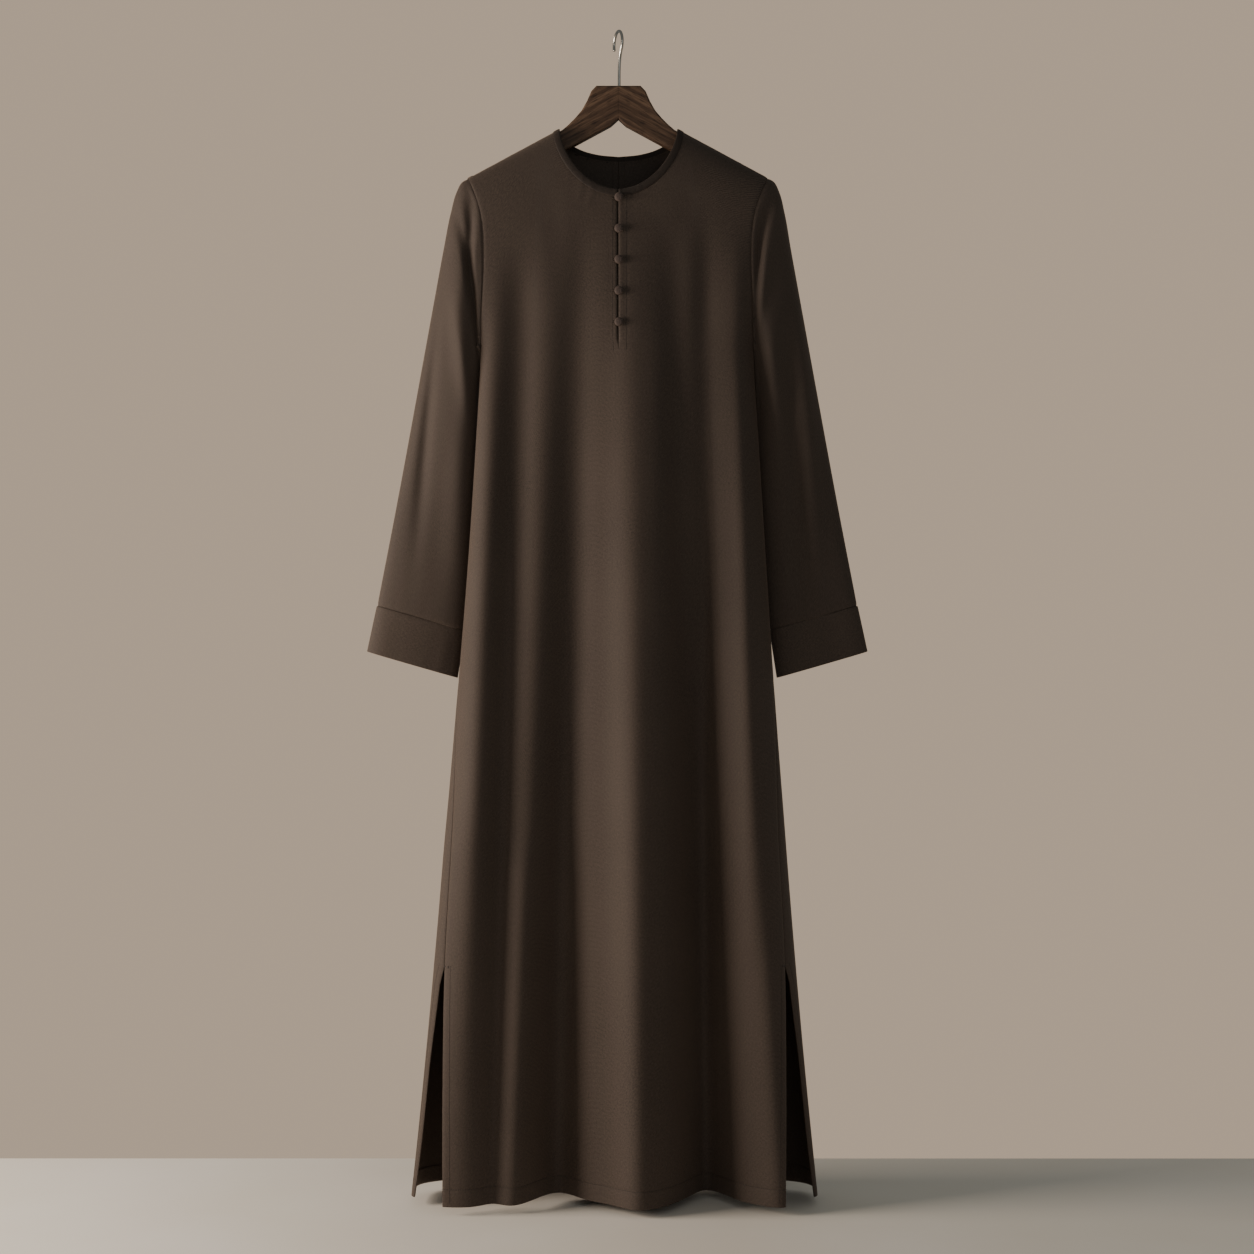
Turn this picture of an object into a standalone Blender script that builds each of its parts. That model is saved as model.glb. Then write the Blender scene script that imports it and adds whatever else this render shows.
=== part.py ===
"""A closed abaya hanging on a wooden hanger with a steel hook.

Metres, +Z up, the front faces -Y. The origin is the inner top of the hook,
where a rail carries it. Left is the side of -X, as seen from the front.
The cloth is a set of thin walls on surfaces worked out from the tables below.
"""

import math

import bmesh
import bpy
import numpy as np
from mathutils import Matrix, Vector

GARMENT = "Closed abaya"
CUTTERS = "Cutters"

# Cloth and seams
CLOTH = 0.0016
CUFF_WALL = 0.0026
BINDING_WALL = 0.0026
BINDING_PROUD = 0.0008  # how far the binding stands out of the panels
BINDING_OFFSET = 2 * BINDING_PROUD / BINDING_WALL - 1
SEAM_GAP = 0.0006  # on the outside; the walls lean in and leave about half of it
HALF_GAP = SEAM_GAP / 2

# Heights down the garment
SHOULDER_MIDDLE = -0.0902  # where the two shoulder lines would meet
SHOULDER_SLOPE = 0.536
SHOULDER_TIP = 0.2035  # half the width across the shoulder seams
ARMHOLE_TOP = -0.1993
UNDERARM = -0.4365
SLIT_TOP = -1.262  # side slits
SLIT_FADE = 0.03
HEM = -1.578
SHOULDER_ROUND = 0.10  # drop over which the cloth turns from level to upright
SHOULDER_SQUARE = 2.8
ROUND = 2.0

# The centre-front slit. Its right edge stands a little forward
PLACKET_END = -0.436
PLACKET_HALF = 0.0003
PLACKET_FADE = 0.03
LIP_RISE = 0.0011
LIP_WIDTH = 0.006

# Neck: half outlines of the opening as (across, height), from the middle to the shoulder
BINDING_WIDTH = 0.0100
NECK_FRONT = (
    (0.0000, -0.2200),
    (0.0217, -0.2151),
    (0.0396, -0.2054),
    (0.0575, -0.1885),
    (0.0700, -0.1690),
    (0.0768, -0.1510),
    (0.0800, -0.1331),
)
NECK_BACK = (
    (0.0000, -0.1635),
    (0.0304, -0.1605),
    (0.0504, -0.1552),
    (0.0660, -0.1475),
    (0.0758, -0.1395),
    (0.0800, -0.1331),
)
NECK_PROBE = 0.004  # share of the outline between the points that give its direction
NECK_STRAIGHT = 0.08  # the strip leads straight down over this share at the middle
NECK_ON_SHOULDER = 0.75  # from this share on it turns to lie along the shoulder
SHOULDER_POINT = 0.0799  # stations beyond this lie on the shoulder line itself

# Body below the underarm. seam: where the side seam and front edge lie, as a share
# of the half width; back_edge: where the back panel's own edge lies
BODY_NAMES = (
    "height", "half", "shift", "front", "back", "square", "seam", "back_edge",
)
BODY = (
    (-0.130, 0.1853, -0.0005, 0.032, 0.030, 2.4, 1.000, 1.000),
    (-0.300, 0.1853, -0.0015, 0.032, 0.030, 2.4, 1.000, 1.000),
    (-0.4365, 0.1853, -0.0018, 0.036, 0.034, 2.4, 1.000, 1.000),
    (-0.580, 0.1931, -0.0014, 0.039, 0.038, 2.4, 1.000, 1.000),
    (-0.745, 0.2036, -0.0018, 0.040, 0.044, 2.5, 1.000, 1.000),
    (-0.880, 0.2134, -0.0030, 0.041, 0.050, 2.6, 1.000, 1.000),
    (-1.075, 0.2290, -0.0040, 0.043, 0.058, 2.9, 0.957, 0.957),
    (-1.262, 0.2440, -0.0042, 0.044, 0.067, 3.3, 0.935, 0.935),
    (-1.420, 0.2590, -0.0048, 0.045, 0.075, 3.7, 0.885, 0.960),
    (-1.578, 0.2755, -0.0054, 0.046, 0.082, 4.0, 0.828, 0.981),
)
AT_SIDE = 0.999  # a seam at this share or more lies at the very side

# Armhole. seam: half distance to the seam; hull: the half width that the body's section
# would have there with the sleeve cap
ARMHOLE_NAMES = ("height", "seam", "hull")
ARMHOLE = (
    (-0.1993, 0.2035, 0.2800),
    (-0.2240, 0.1930, 0.2650),
    (-0.2450, 0.1862, 0.2500),
    (-0.2700, 0.1820, 0.2370),
    (-0.3000, 0.1806, 0.2275),
    (-0.3300, 0.1810, 0.2156),
    (-0.3600, 0.1825, 0.2044),
    (-0.3800, 0.1836, 0.1978),
    (-0.4000, 0.1842, 0.1912),
    (-0.4200, 0.1849, 0.1871),
    (-0.4365, 0.1853, 0.1853),
)

# Folds of the body. at_top and at_hem: distance from the middle at the underarm and at
# the hem; starts: the height where it begins; depth: at the hem, forward if positive
FOLD_NAMES = ("at_top", "at_hem", "starts", "depth", "wide_top", "wide_hem")
FRONT_FOLDS = (
    (-0.166, -0.196, -0.300, 0.030, 0.026, 0.050),
    (-0.144, -0.168, -0.420, -0.007, 0.012, 0.014),
    (-0.108, -0.134, -0.300, 0.008, 0.020, 0.024),
    (-0.054, -0.079, -0.250, -0.043, 0.023, 0.034),
    (0.022, 0.028, -0.250, 0.045, 0.034, 0.040),
    (0.094, 0.122, -0.270, -0.052, 0.026, 0.034),
    (0.160, 0.217, -0.330, 0.038, 0.026, 0.035),
)
BACK_FOLDS = (
    (-0.130, -0.195, -0.320, 0.016, 0.026, 0.036),
    (-0.078, -0.120, -0.260, -0.040, 0.024, 0.034),
    (-0.028, -0.048, -0.300, 0.022, 0.022, 0.034),
    (0.034, 0.040, -0.330, -0.024, 0.022, 0.030),
    (0.080, 0.112, -0.260, 0.020, 0.024, 0.036),
    (0.124, 0.178, -0.300, -0.036, 0.022, 0.030),
)
FOLD_GROWTH = 0.9
FOLD_RISE = 0.3  # the folds keep their slant this share of the skirt above the underarm

# Sleeves: their outer and inner edges as (across, height), from the armhole down
SLEEVE_OUTER = (
    (0.2035, -0.1993),
    (0.2120, -0.2045),
    (0.2192, -0.2170),
    (0.2273, -0.2450),
    (0.2368, -0.2929),
    (0.2498, -0.3613),
    (0.2752, -0.4982),
    (0.3005, -0.6351),
    (0.3281, -0.7796),
)
SLEEVE_INNER = (
    (0.1858, -0.4365),
    (0.1872, -0.4520),
    (0.1878, -0.4750),
    (0.1885, -0.5300),
    (0.1945, -0.6600),
    (0.2015, -0.7500),
    (0.2113, -0.8131),
)
CUFF_OUTER = ((0.3285, -0.7800), (0.3419, -0.8420))
CUFF_INNER = ((0.2110, -0.8135), (0.2184, -0.8780))
SLEEVE_NAMES = ("share", "middle", "half_depth")
SLEEVE = (
    (0.00, 0.000, 0.026),
    (0.10, 0.008, 0.030),
    (0.25, 0.016, 0.031),
    (0.50, 0.021, 0.027),
    (0.80, 0.021, 0.020),
    (1.00, 0.018, 0.0165),
)
SLEEVE_SQUARE = 2.3
ARMHOLE_FADE = 0.22  # share of the sleeve over which the armhole's shape is lost
SEAM_FADE = 0.05  # share over which the sleeve's step off the seam is lost
TIP_CLEAR = 0.0004  # more room at the shoulder tip, where three pieces meet
SLEEVE_DROP = 0.0003
CUFF_PROUD = 0.0009
CUFF_DEPTH_END = 0.0150
CUFF_SHARES = (0.0, 0.05, 0.95, 1.0)

# Folds of a sleeve's front. along: where on the sleeve; across: 0 at the outer edge,
# 1 at the inner one; depth: forward if positive
SLEEVE_FOLD_NAMES = ("along", "across", "long", "wide", "depth")
SLEEVE_FOLDS = (
    (0.075, 0.55, 0.030, 0.34, -0.011),
    (0.200, 0.42, 0.090, 0.22, 0.006),
    (0.450, 0.38, 0.220, 0.16, 0.006),
    (0.420, 0.64, 0.200, 0.12, -0.008),
    (0.620, 0.84, 0.240, 0.12, 0.004),
)

# Buttons. The head's profile as (share of the radius, share of the head's height)
BUTTON_TOP = -0.2310
BUTTON_PITCH = 0.0422
BUTTON_COUNT = 5
BUTTON_SIDES = 14
BUTTON_ACROSS = 0.0007
BUTTON_RADIUS = 0.0060
BUTTON_SEAT = 0.0003
BUTTON_SPAN = 0.004  # half the height over which the front's slope is read
SHANK_RADIUS = 0.0016
SHANK_HEIGHT = 0.0022
HEAD_HEIGHT = 0.0034
HEAD_PROFILE = (
    (0.00, 1.00),
    (0.36, 0.97),
    (0.68, 0.86),
    (0.93, 0.62),
    (1.00, 0.30),
    (0.90, 0.00),
)

# Button loops: half a hairpin of cord as (before the button, share of the half width)
LOOP_WIRE = 0.00065
LOOP_HALF = 0.0027
LOOP_LIFT = 0.0011
LOOP_SIDE = ((0.0094, 0.45), (0.0062, 0.55), (0.0030, 0.90))
LOOP_ROUND_STEPS = 6

# Hanger: a board whose top follows the shoulders, with a rounded tip given as
# (in from the end, below the tip's top)
WOOD_HALF = 0.0065
WOOD_CHAMFER = 0.0024
WOOD_BELOW_LINE = 0.0030
WOOD_HEIGHT = 0.0300
WOOD_END = 0.1960
WOOD_MIDDLE_TOP = -0.0739
HANGER_NECK = (
    (0.0300, -0.0739),
    (0.0368, -0.0811),
    (0.0430, -0.0952),
    (0.0500, -0.1075),
    (0.0588, -0.1178),
    (0.0680, -0.1270),
    (0.0760, -0.1339),
)
HANGER_TOP_PLACES = (0.082, 0.120, 0.190)
HANGER_TIP = ((0.001, 0.0035), (0.000, 0.0100), (0.003, 0.0210), (0.011, 0.0250))
HANGER_UNDER_PLACES = (0.120, 0.060, 0.010)
HANGER_ARCH = 0.004
RIM_ANGLE = math.radians(60)
FLAT_ANGLE = math.radians(1)

# Hook: a stem, a bend forward, and an arc over the rail
WIRE = 0.0020
HOOK_INNER = 0.0145
HOOK_TURN = math.radians(20)
HOOK_MIDDLE = (-0.0005, 0.0040)
HOOK_FRONT_ANGLE = math.radians(-40)
HOOK_BACK_ANGLE = math.radians(205)
HOOK_PULL = 0.034
HOOK_BEND_STEPS = 8
HOOK_ARC_STEPS = 22
STEM_ACROSS = 0.0009
STEM_TOP = -0.0600
STEM_STRAIGHT = -0.0840
STEM_END = -0.1080
BORE_RADIUS = 0.0023
BORE_BELOW = 0.0005
BORE_LENGTH = 0.05
BORE_SIDES = 16

# Columns and rows of the walls
CHEST_ROWS = (
    0.0, 0.0015, 0.007, 0.022, 0.05, 0.10, 0.18, 0.30, 0.44, 0.60, 0.76, 0.88, 0.955,
)
CHEST_SPREAD = 0.14  # how far the chest's grid lines spread from the neck
BODY_HEIGHTS = (
    UNDERARM, -0.475, -0.530, -0.600, -0.675, -0.750, -0.830, -0.910, -0.990,
    -1.070, -1.140, -1.205, SLIT_TOP, -1.330, -1.405, -1.480, -1.545, HEM,
)
SECTION_POINTS = 1401
FRONT_HALF_COLUMNS = 18
NECK_COLUMNS = 11
BACK_COLUMNS = 17
BACK_NECK_COLUMNS = 9
EDGE_STEP = 0.012
NECK_TURN = (0.94, 0.975, 0.992, 1.0)  # stations where it turns over the shoulder
NECK_EVEN = 0.87  # the stations before this share are evenly spaced
BINDING_SHARES = (0.0, 0.5, 1.0)
SLEEVE_SHARES = (
    0.0, 0.012, 0.035, 0.06, 0.085, 0.115, 0.16, 0.23, 0.32, 0.42, 0.54, 0.66,
    0.78, 0.90, 1.0,
)
SLEEVE_AROUND = 18
SAME_POINT = 0.00001

# Colour, roughness and metal of each finish
FINISHES = {
    "crepe": ((0.052, 0.036, 0.028, 1.0), 0.78, 0.0),
    "binding": ((0.045, 0.031, 0.024, 1.0), 0.80, 0.0),
    "button": ((0.060, 0.042, 0.033, 1.0), 0.70, 0.0),
    "walnut": ((0.060, 0.036, 0.024, 1.0), 0.45, 0.0),
    "steel": ((0.560, 0.550, 0.530, 1.0), 0.22, 1.0),
}


def smooth_step(value):
    """0 below 0, 1 above 1, and a smooth rise between."""
    value = np.clip(value, 0.0, 1.0)
    return value * value * (3.0 - 2.0 * value)


def smooth_curve(places, values, at):
    """Cubic through the values, with the slope at each place from its neighbours."""
    places = np.asarray(places, dtype=float)
    values = np.asarray(values, dtype=float)
    slopes = np.gradient(values, places)
    at = np.clip(at, places[0], places[-1])
    left = np.clip(np.searchsorted(places, at, side="right") - 1, 0, len(places) - 2)
    span = places[left + 1] - places[left]
    t = (at - places[left]) / span
    rise = 3 * t**2 - 2 * t**3
    return (
        values[left] * (1 - rise)
        + values[left + 1] * rise
        + span * slopes[left] * (t**3 - 2 * t**2 + t)
        + span * slopes[left + 1] * (t**3 - t**2)
    )


def read(table, names, name, at):
    """A named column of a table, at a value of its first column."""
    order = 1 if table[0][0] < table[-1][0] else -1
    rows = table[::order]
    places = [row[0] for row in rows]
    values = [row[names.index(name)] for row in rows]
    return smooth_curve(places, values, at)


def read_body(name, height):
    """One value of the body's table at a height."""
    return float(read(BODY, BODY_NAMES, name, height))


def walk(points, shares):
    """Points at the given shares of the length of a smooth line through the points."""
    points = np.asarray(points, dtype=float)
    steps = np.linalg.norm(np.diff(points, axis=0), axis=1)
    along = np.concatenate(([0.0], np.cumsum(steps)))
    wanted = np.asarray(shares) * along[-1]
    columns = [smooth_curve(along, points[:, k], wanted) for k in range(points.shape[1])]
    return np.stack(columns, axis=-1)


def walk_dense(points, shares, end_trim):
    """The same along a dense line, which is first cut back by a length at its end."""
    points = np.asarray(points, dtype=float)
    steps = np.linalg.norm(np.diff(points, axis=0), axis=1)
    along = np.concatenate(([0.0], np.cumsum(steps)))
    wanted = np.asarray(shares) * (along[-1] - end_trim)
    columns = [np.interp(wanted, along, points[:, k]) for k in range(points.shape[1])]
    return np.stack(columns, axis=-1)


def superellipse(share, square):
    """Height of a superellipse of half width and height 1, at a share of its width."""
    return (1.0 - np.clip(np.abs(share), 0.0, 1.0) ** square) ** (1.0 / square)


def shoulder_height(across):
    """Height of the shoulder line at a distance from the middle."""
    return SHOULDER_MIDDLE - SHOULDER_SLOPE * np.abs(across)


def fold_push(table, across, height):
    """How far the folds move the cloth outwards at a place on the body."""
    push = np.zeros(np.broadcast(across, height).shape)
    for row in table:
        fold = dict(zip(FOLD_NAMES, row, strict=True))
        down = np.clip((UNDERARM - height) / (UNDERARM - HEM), -FOLD_RISE, 1.0)
        line = fold["at_top"] + (fold["at_hem"] - fold["at_top"]) * down
        wide = fold["wide_top"] + (fold["wide_hem"] - fold["wide_top"]) * down
        grown = np.clip((fold["starts"] - height) / (fold["starts"] - HEM), 0.0, 1.0)
        grown = grown**FOLD_GROWTH
        push = push + fold["depth"] * grown * np.exp(-(((across - line) / wide) ** 2))
    return push


def body_depth(across, height, front):
    """How far the body's cloth lies from the middle plane, at a place seen from the front."""
    shift = read(BODY, BODY_NAMES, "shift", height)
    half = np.where(
        height > UNDERARM,
        read(ARMHOLE, ARMHOLE_NAMES, "hull", height),
        read(BODY, BODY_NAMES, "half", height),
    )
    square = read(BODY, BODY_NAMES, "square", height)
    depth = read(BODY, BODY_NAMES, "front" if front else "back", height)
    drop = np.clip((shoulder_height(across) - height) / SHOULDER_ROUND, 0.0, 1.0)
    turn = superellipse(1.0 - drop, SHOULDER_SQUARE)
    base = depth * superellipse((across - shift) / half, square) * turn
    folds = FRONT_FOLDS if front else BACK_FOLDS
    return np.maximum(base + fold_push(folds, across, height), HALF_GAP)


def lip(across, height):
    """How far the right edge of the centre-front slit stands forward."""
    raised = np.where(across > 0, LIP_RISE * np.exp(-across / LIP_WIDTH), 0.0)
    return raised * smooth_step((height - PLACKET_END) / PLACKET_FADE)


def front_place(across, height):
    """A point of the front's outside, at a place seen from the front."""
    away = -body_depth(across, height, True) - lip(across, height)
    return np.stack(np.broadcast_arrays(across, away, height), axis=-1)


def back_place(across, height):
    """A point of the back's outside, at a place seen from the front."""
    depth = body_depth(across, height, False)
    return np.stack(np.broadcast_arrays(across, depth, height), axis=-1)


def body_section(height, front):
    """The dense front or back half of the body's section, from left to right."""
    square = read_body("square", height)
    angle = np.linspace(math.pi, 0.0, SECTION_POINTS)
    cosine, sine = np.cos(angle), np.sin(angle)
    reach = np.sign(cosine) * np.abs(cosine) ** (2 / square)
    across = read_body("shift", height) + read_body("half", height) * reach
    away = read_body("front" if front else "back", height) * np.abs(sine) ** (2 / square)
    return np.stack([across, away], axis=-1)


def edge_across(height, side, name):
    """Where a panel's edge named in the body's table lies, seen from the front."""
    share = min(read_body("seam" if height > SLIT_TOP else name, height), 1.0)
    return read_body("shift", height) + side * read_body("half", height) * share


def edged(count):
    """Even shares from 0 to 1, with one more narrow step at the end."""
    shares = np.linspace(0.0, 1.0, count + 1)
    return np.insert(shares, -1, 1.0 - EDGE_STEP)


def front_row(height, side):
    """Points of one half of the front at a height, from the middle to its edge."""
    line = body_section(height, True)
    edge = edge_across(height, side, "seam")
    middle = side * PLACKET_HALF if height > PLACKET_END else 0.0
    inner, outer = min(edge, middle), max(edge, middle)
    kept = line[(line[:, 0] > inner) & (line[:, 0] < outer)]
    side_end = line[0] if side < 0 else line[-1]
    if abs(edge) >= abs(side_end[0]) - SAME_POINT:
        kept = np.vstack([side_end, kept] if side < 0 else [kept, side_end])
    if side < 0:
        kept = kept[::-1]
    start = np.array([middle, np.interp(middle, line[:, 0], line[:, 1])])
    places = walk_dense(np.vstack([start, kept]), edged(FRONT_HALF_COLUMNS), HALF_GAP)
    push = fold_push(FRONT_FOLDS, places[:, 0], height)
    away = -places[:, 1] - push - lip(places[:, 0], height)
    if height > SLIT_TOP and read_body("seam", height) > AT_SIDE:
        away = np.minimum(away, -HALF_GAP)
    return np.stack([places[:, 0], away, np.full(len(places), height)], axis=-1)


def back_row(height, side):
    """Points of one back half at a height, from the middle round the side to its edge."""
    whole = body_section(height, False)
    front = body_section(height, True)
    edge = abs(edge_across(height, side, "back_edge"))
    ordered = whole[::-1] if side < 0 else whole
    back = ordered[ordered[:, 0] * side > HALF_GAP]
    wrap = front[(front[:, 0] * side > edge)]
    wrap = wrap if side < 0 else wrap[::-1]
    start = np.array([side * HALF_GAP, np.interp(0.0, whole[:, 0], whole[:, 1])])
    line = np.vstack([start, back, wrap * np.array([1.0, -1.0])])
    places = walk_dense(line, edged(BACK_COLUMNS), HALF_GAP)
    share = (places[:, 0] - read_body("shift", height)) / read_body("half", height)
    push = fold_push(BACK_FOLDS, places[:, 0], height) * superellipse(share, ROUND)
    closed = smooth_step((height - SLIT_TOP) / SLIT_FADE + 1.0)
    wrap_push = fold_push(FRONT_FOLDS, places[:, 0], height) * closed
    on_front = places[:, 1] < 0
    away = np.where(on_front, places[:, 1] - wrap_push, places[:, 1] + push)
    if read_body("seam", height) > AT_SIDE:
        away = np.maximum(away, HALF_GAP)
    return np.stack([places[:, 0], away, np.full(len(places), height)], axis=-1)


def neck_shares(columns):
    """Where the stations round the neck lie, closer where it turns over the shoulder."""
    return np.append(np.linspace(0.0, NECK_EVEN, columns + 1 - len(NECK_TURN)), NECK_TURN)


def neck_out(table, shares):
    """Unit directions that lead away from the opening, in the plane seen from the front."""
    shares = np.asarray(shares)
    ahead = walk(table, np.clip(shares + NECK_PROBE, 0.0, 1.0))
    behind = walk(table, np.clip(shares - NECK_PROBE, 0.0, 1.0))
    run = ahead - behind
    out = np.stack([run[:, 1], -run[:, 0]], axis=-1)
    out /= np.linalg.norm(out, axis=1)[:, None]
    along_shoulder = np.array([1.0, -SHOULDER_SLOPE]) / math.hypot(1.0, SHOULDER_SLOPE)
    straight_down = np.array([0.0, -1.0])
    late = smooth_step((shares - NECK_ON_SHOULDER) / (1.0 - NECK_ON_SHOULDER))[:, None]
    away = smooth_step(shares / NECK_STRAIGHT)[:, None]
    out = out * (1 - late) + along_shoulder * late
    out = out * away + straight_down * (1 - away)
    return out / np.linalg.norm(out, axis=1)[:, None]


def top_line(table, side, neck_columns, columns):
    """The panel's top edge seen from the front: neck, then shoulder, from the middle."""
    shares = neck_shares(neck_columns)
    neck = walk(table, shares) + neck_out(table, shares) * (BINDING_WIDTH + SEAM_GAP)
    tip = SHOULDER_TIP + side * read_body("shift", ARMHOLE_TOP)
    across = np.linspace(neck[-1, 0], tip, columns - neck_columns + 1)[1:]
    across = np.insert(across, -1, tip - EDGE_STEP * SHOULDER_TIP)
    shoulder = np.stack([across, shoulder_height(across)], axis=-1)
    return np.vstack([neck, shoulder]) * np.array([side, 1.0])


def chest_rows(table, side, front):
    """Rows of a panel from its top edge to just above the underarm."""
    columns = FRONT_HALF_COLUMNS if front else BACK_COLUMNS
    neck_columns = NECK_COLUMNS if front else BACK_NECK_COLUMNS
    top = top_line(table, side, neck_columns, columns)
    last = front_row(UNDERARM, side) if front else back_row(UNDERARM, side)
    bottom = last[:, [0, 2]]
    middle_gap = side * (PLACKET_HALF if front else HALF_GAP)
    top[0, 0] = middle_gap
    u = np.linspace(0.0, 1.0, len(top))[:, None]
    u[-2] = 1.0 - EDGE_STEP / 2
    place = front_place if front else back_place
    rows = []
    for v in CHEST_ROWS:
        drop = top[-1, 1] + (UNDERARM - top[-1, 1]) * v
        edge_half = float(read(ARMHOLE, ARMHOLE_NAMES, "seam", drop))
        edge = np.array([side * edge_half + read_body("shift", drop), drop])
        middle = np.array([middle_gap, top[0, 1] + (UNDERARM - top[0, 1]) * v])
        blend = (1 - v) * top + v * bottom
        sides = (1 - u) * middle + u * edge
        top_side = (1 - u) * top[0] + u * top[-1]
        bottom_side = (1 - u) * bottom[0] + u * bottom[-1]
        flat = blend + sides - (1 - v) * top_side - v * bottom_side
        spread = CHEST_SPREAD * v * (1 - v) ** 2
        flat[:, 0] += side * spread * np.sin(math.pi * u[:, 0]) ** 2
        rows.append(place(flat[:, 0], flat[:, 1]))
    return rows


def armhole_point(side, share, front):
    """A point of the armhole's edge: share 0 at the shoulder, 1 at the underarm."""
    height = ARMHOLE_TOP + (UNDERARM - ARMHOLE_TOP) * share
    shift = read(BODY, BODY_NAMES, "shift", height)
    across = side * read(ARMHOLE, ARMHOLE_NAMES, "seam", height) + shift
    depth = body_depth(across, height, front)
    return np.stack([across, -depth if front else depth, height], axis=-1)


def new_object(name, mesh, material, collection=GARMENT):
    """Adds a mesh or curve as an object, with its material if it has one."""
    made = bpy.data.objects.new(name, mesh)
    bpy.data.collections[collection].objects.link(made)
    if material:
        made.data.materials.append(finish(material))
    return made


def finish(name):
    """The Principled material of that name."""
    if name in bpy.data.materials:
        return bpy.data.materials[name]
    colour, roughness, metallic = FINISHES[name]
    made = bpy.data.materials.new(name)
    made.use_nodes = True
    shader = made.node_tree.nodes["Principled BSDF"]
    shader.inputs["Base Color"].default_value = colour
    shader.inputs["Roughness"].default_value = roughness
    shader.inputs["Metallic"].default_value = metallic
    return made


def mesh_from(name, shape):
    """A mesh from a bmesh, which is then freed."""
    mesh = bpy.data.meshes.new(name)
    shape.to_mesh(mesh)
    shape.free()
    return mesh


def sheet_mesh(name, grids, turned, closed=False):
    """An open surface from grids of points, which are joined where they share points."""
    shape = bmesh.new()
    for rows in grids:
        corners = [[shape.verts.new(tuple(map(float, p))) for p in row] for row in rows]
        for upper, lower in zip(corners, corners[1:], strict=False):
            count = len(upper)
            for k in range(count if closed else count - 1):
                n = (k + 1) % count
                face = [upper[k], lower[k], lower[n], upper[n]]
                shape.faces.new(face[::-1] if turned else face)
    bmesh.ops.remove_doubles(shape, verts=shape.verts, dist=SAME_POINT)
    return mesh_from(name, shape)


def add_wall(made, thickness, offset=-1.0):
    """Gives an open surface its thickness, towards its inside."""
    wall = made.modifiers.new("Wall", "SOLIDIFY")
    wall.thickness = thickness
    wall.offset = offset
    wall.use_even_offset = False
    wall.use_rim = True
    made.data.shade_smooth()


def front_panel():
    """The front in one piece, with its centre slit."""
    left = chest_rows(NECK_FRONT, -1, True) + [front_row(z, -1) for z in BODY_HEIGHTS]
    right = chest_rows(NECK_FRONT, 1, True) + [front_row(z, 1) for z in BODY_HEIGHTS]
    left = [row[::-1] for row in left]
    mesh = sheet_mesh("front_panel", [left, right], False)
    add_wall(new_object("front_panel", mesh, "crepe"), CLOTH)


def back_panel(name, side):
    """One half of the back, which wraps round to the side seam."""
    rows = chest_rows(NECK_BACK, side, False) + [back_row(z, side) for z in BODY_HEIGHTS]
    add_wall(new_object(name, sheet_mesh(name, [rows], side > 0), "crepe"), CLOTH)


def sleeve_push(share, across):
    """How far a sleeve's folds move its front forwards."""
    push = np.zeros(np.broadcast(share, across).shape)
    for row in SLEEVE_FOLDS:
        fold = dict(zip(SLEEVE_FOLD_NAMES, row, strict=True))
        lengthwise = ((share - fold["along"]) / fold["long"]) ** 2
        crosswise = ((across - fold["across"]) / fold["wide"]) ** 2
        push = push + fold["depth"] * np.exp(-lengthwise - crosswise)
    return push


def plain_ring(outer, inner, middle, half_depth, angle):
    """A flattened ring between an outer and an inner point, angle 0 at the outer one."""
    cosine, sine = np.cos(angle), np.sin(angle)
    reach = np.sign(cosine) * np.abs(cosine) ** (2 / SLEEVE_SQUARE)
    swell = np.sign(sine) * np.abs(sine) ** (2 / SLEEVE_SQUARE)
    share = (1 - reach) / 2
    ring = np.outer(1 - share, outer) + np.outer(share, inner)
    return np.stack([ring[:, 0], middle - half_depth * swell, ring[:, 1]], axis=-1)


def ring_angles():
    """Even angles round a sleeve or cuff."""
    return np.linspace(0.0, 2 * math.pi, SLEEVE_AROUND, endpoint=False)


def underarm_shift():
    """The body's shift at the underarm, which the sleeves share."""
    return np.array([read_body("shift", UNDERARM), 0.0])


def plain_sleeve_ring(side, share, angle):
    """The sleeve's ring at a share of its length, without armhole or folds."""
    mirror = np.array([side, 1.0])
    outer = walk(SLEEVE_OUTER, [share])[0] * mirror + underarm_shift()
    inner = walk(SLEEVE_INNER, [share])[0] * mirror + underarm_shift()
    middle = float(read(SLEEVE, SLEEVE_NAMES, "middle", share))
    half_depth = float(read(SLEEVE, SLEEVE_NAMES, "half_depth", share))
    return plain_ring(outer, inner, middle, half_depth, angle)


def sleeve_ring(side, share):
    """Points round the sleeve at a share of its length, from its outer edge."""
    angle = ring_angles()
    down = (1 - np.cos(angle)) / 2
    on_front = (np.sin(angle) >= 0)[:, None]
    front, back = armhole_point(side, down, True), armhole_point(side, down, False)
    seam = np.where(on_front, front, back)
    keep = 1 - smooth_step(share / ARMHOLE_FADE)
    start = plain_sleeve_ring(side, 0.0, angle)
    ring = plain_sleeve_ring(side, share, angle) + (seam - start) * keep
    swell = np.sqrt(np.clip(np.sin(angle), 0.0, 1.0))
    ring[:, 1] -= sleeve_push(share, down) * swell * smooth_step(share / SEAM_FADE)
    step_off = 1 - smooth_step(share / SEAM_FADE)
    at_tip = np.cos(angle / 2) ** 8
    ring[:, 0] += side * (SEAM_GAP + TIP_CLEAR * at_tip) * step_off
    ring[:, 2] -= SLEEVE_DROP * step_off
    return ring


def sleeve(name, side):
    """One sleeve, from the armhole to the cuff's seam."""
    rings = [sleeve_ring(side, share) for share in SLEEVE_SHARES]
    rings[-1][:, 2] += SEAM_GAP
    mesh = sheet_mesh(name, [rings], side > 0, closed=True)
    add_wall(new_object(name, mesh, "crepe"), CLOTH)


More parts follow.
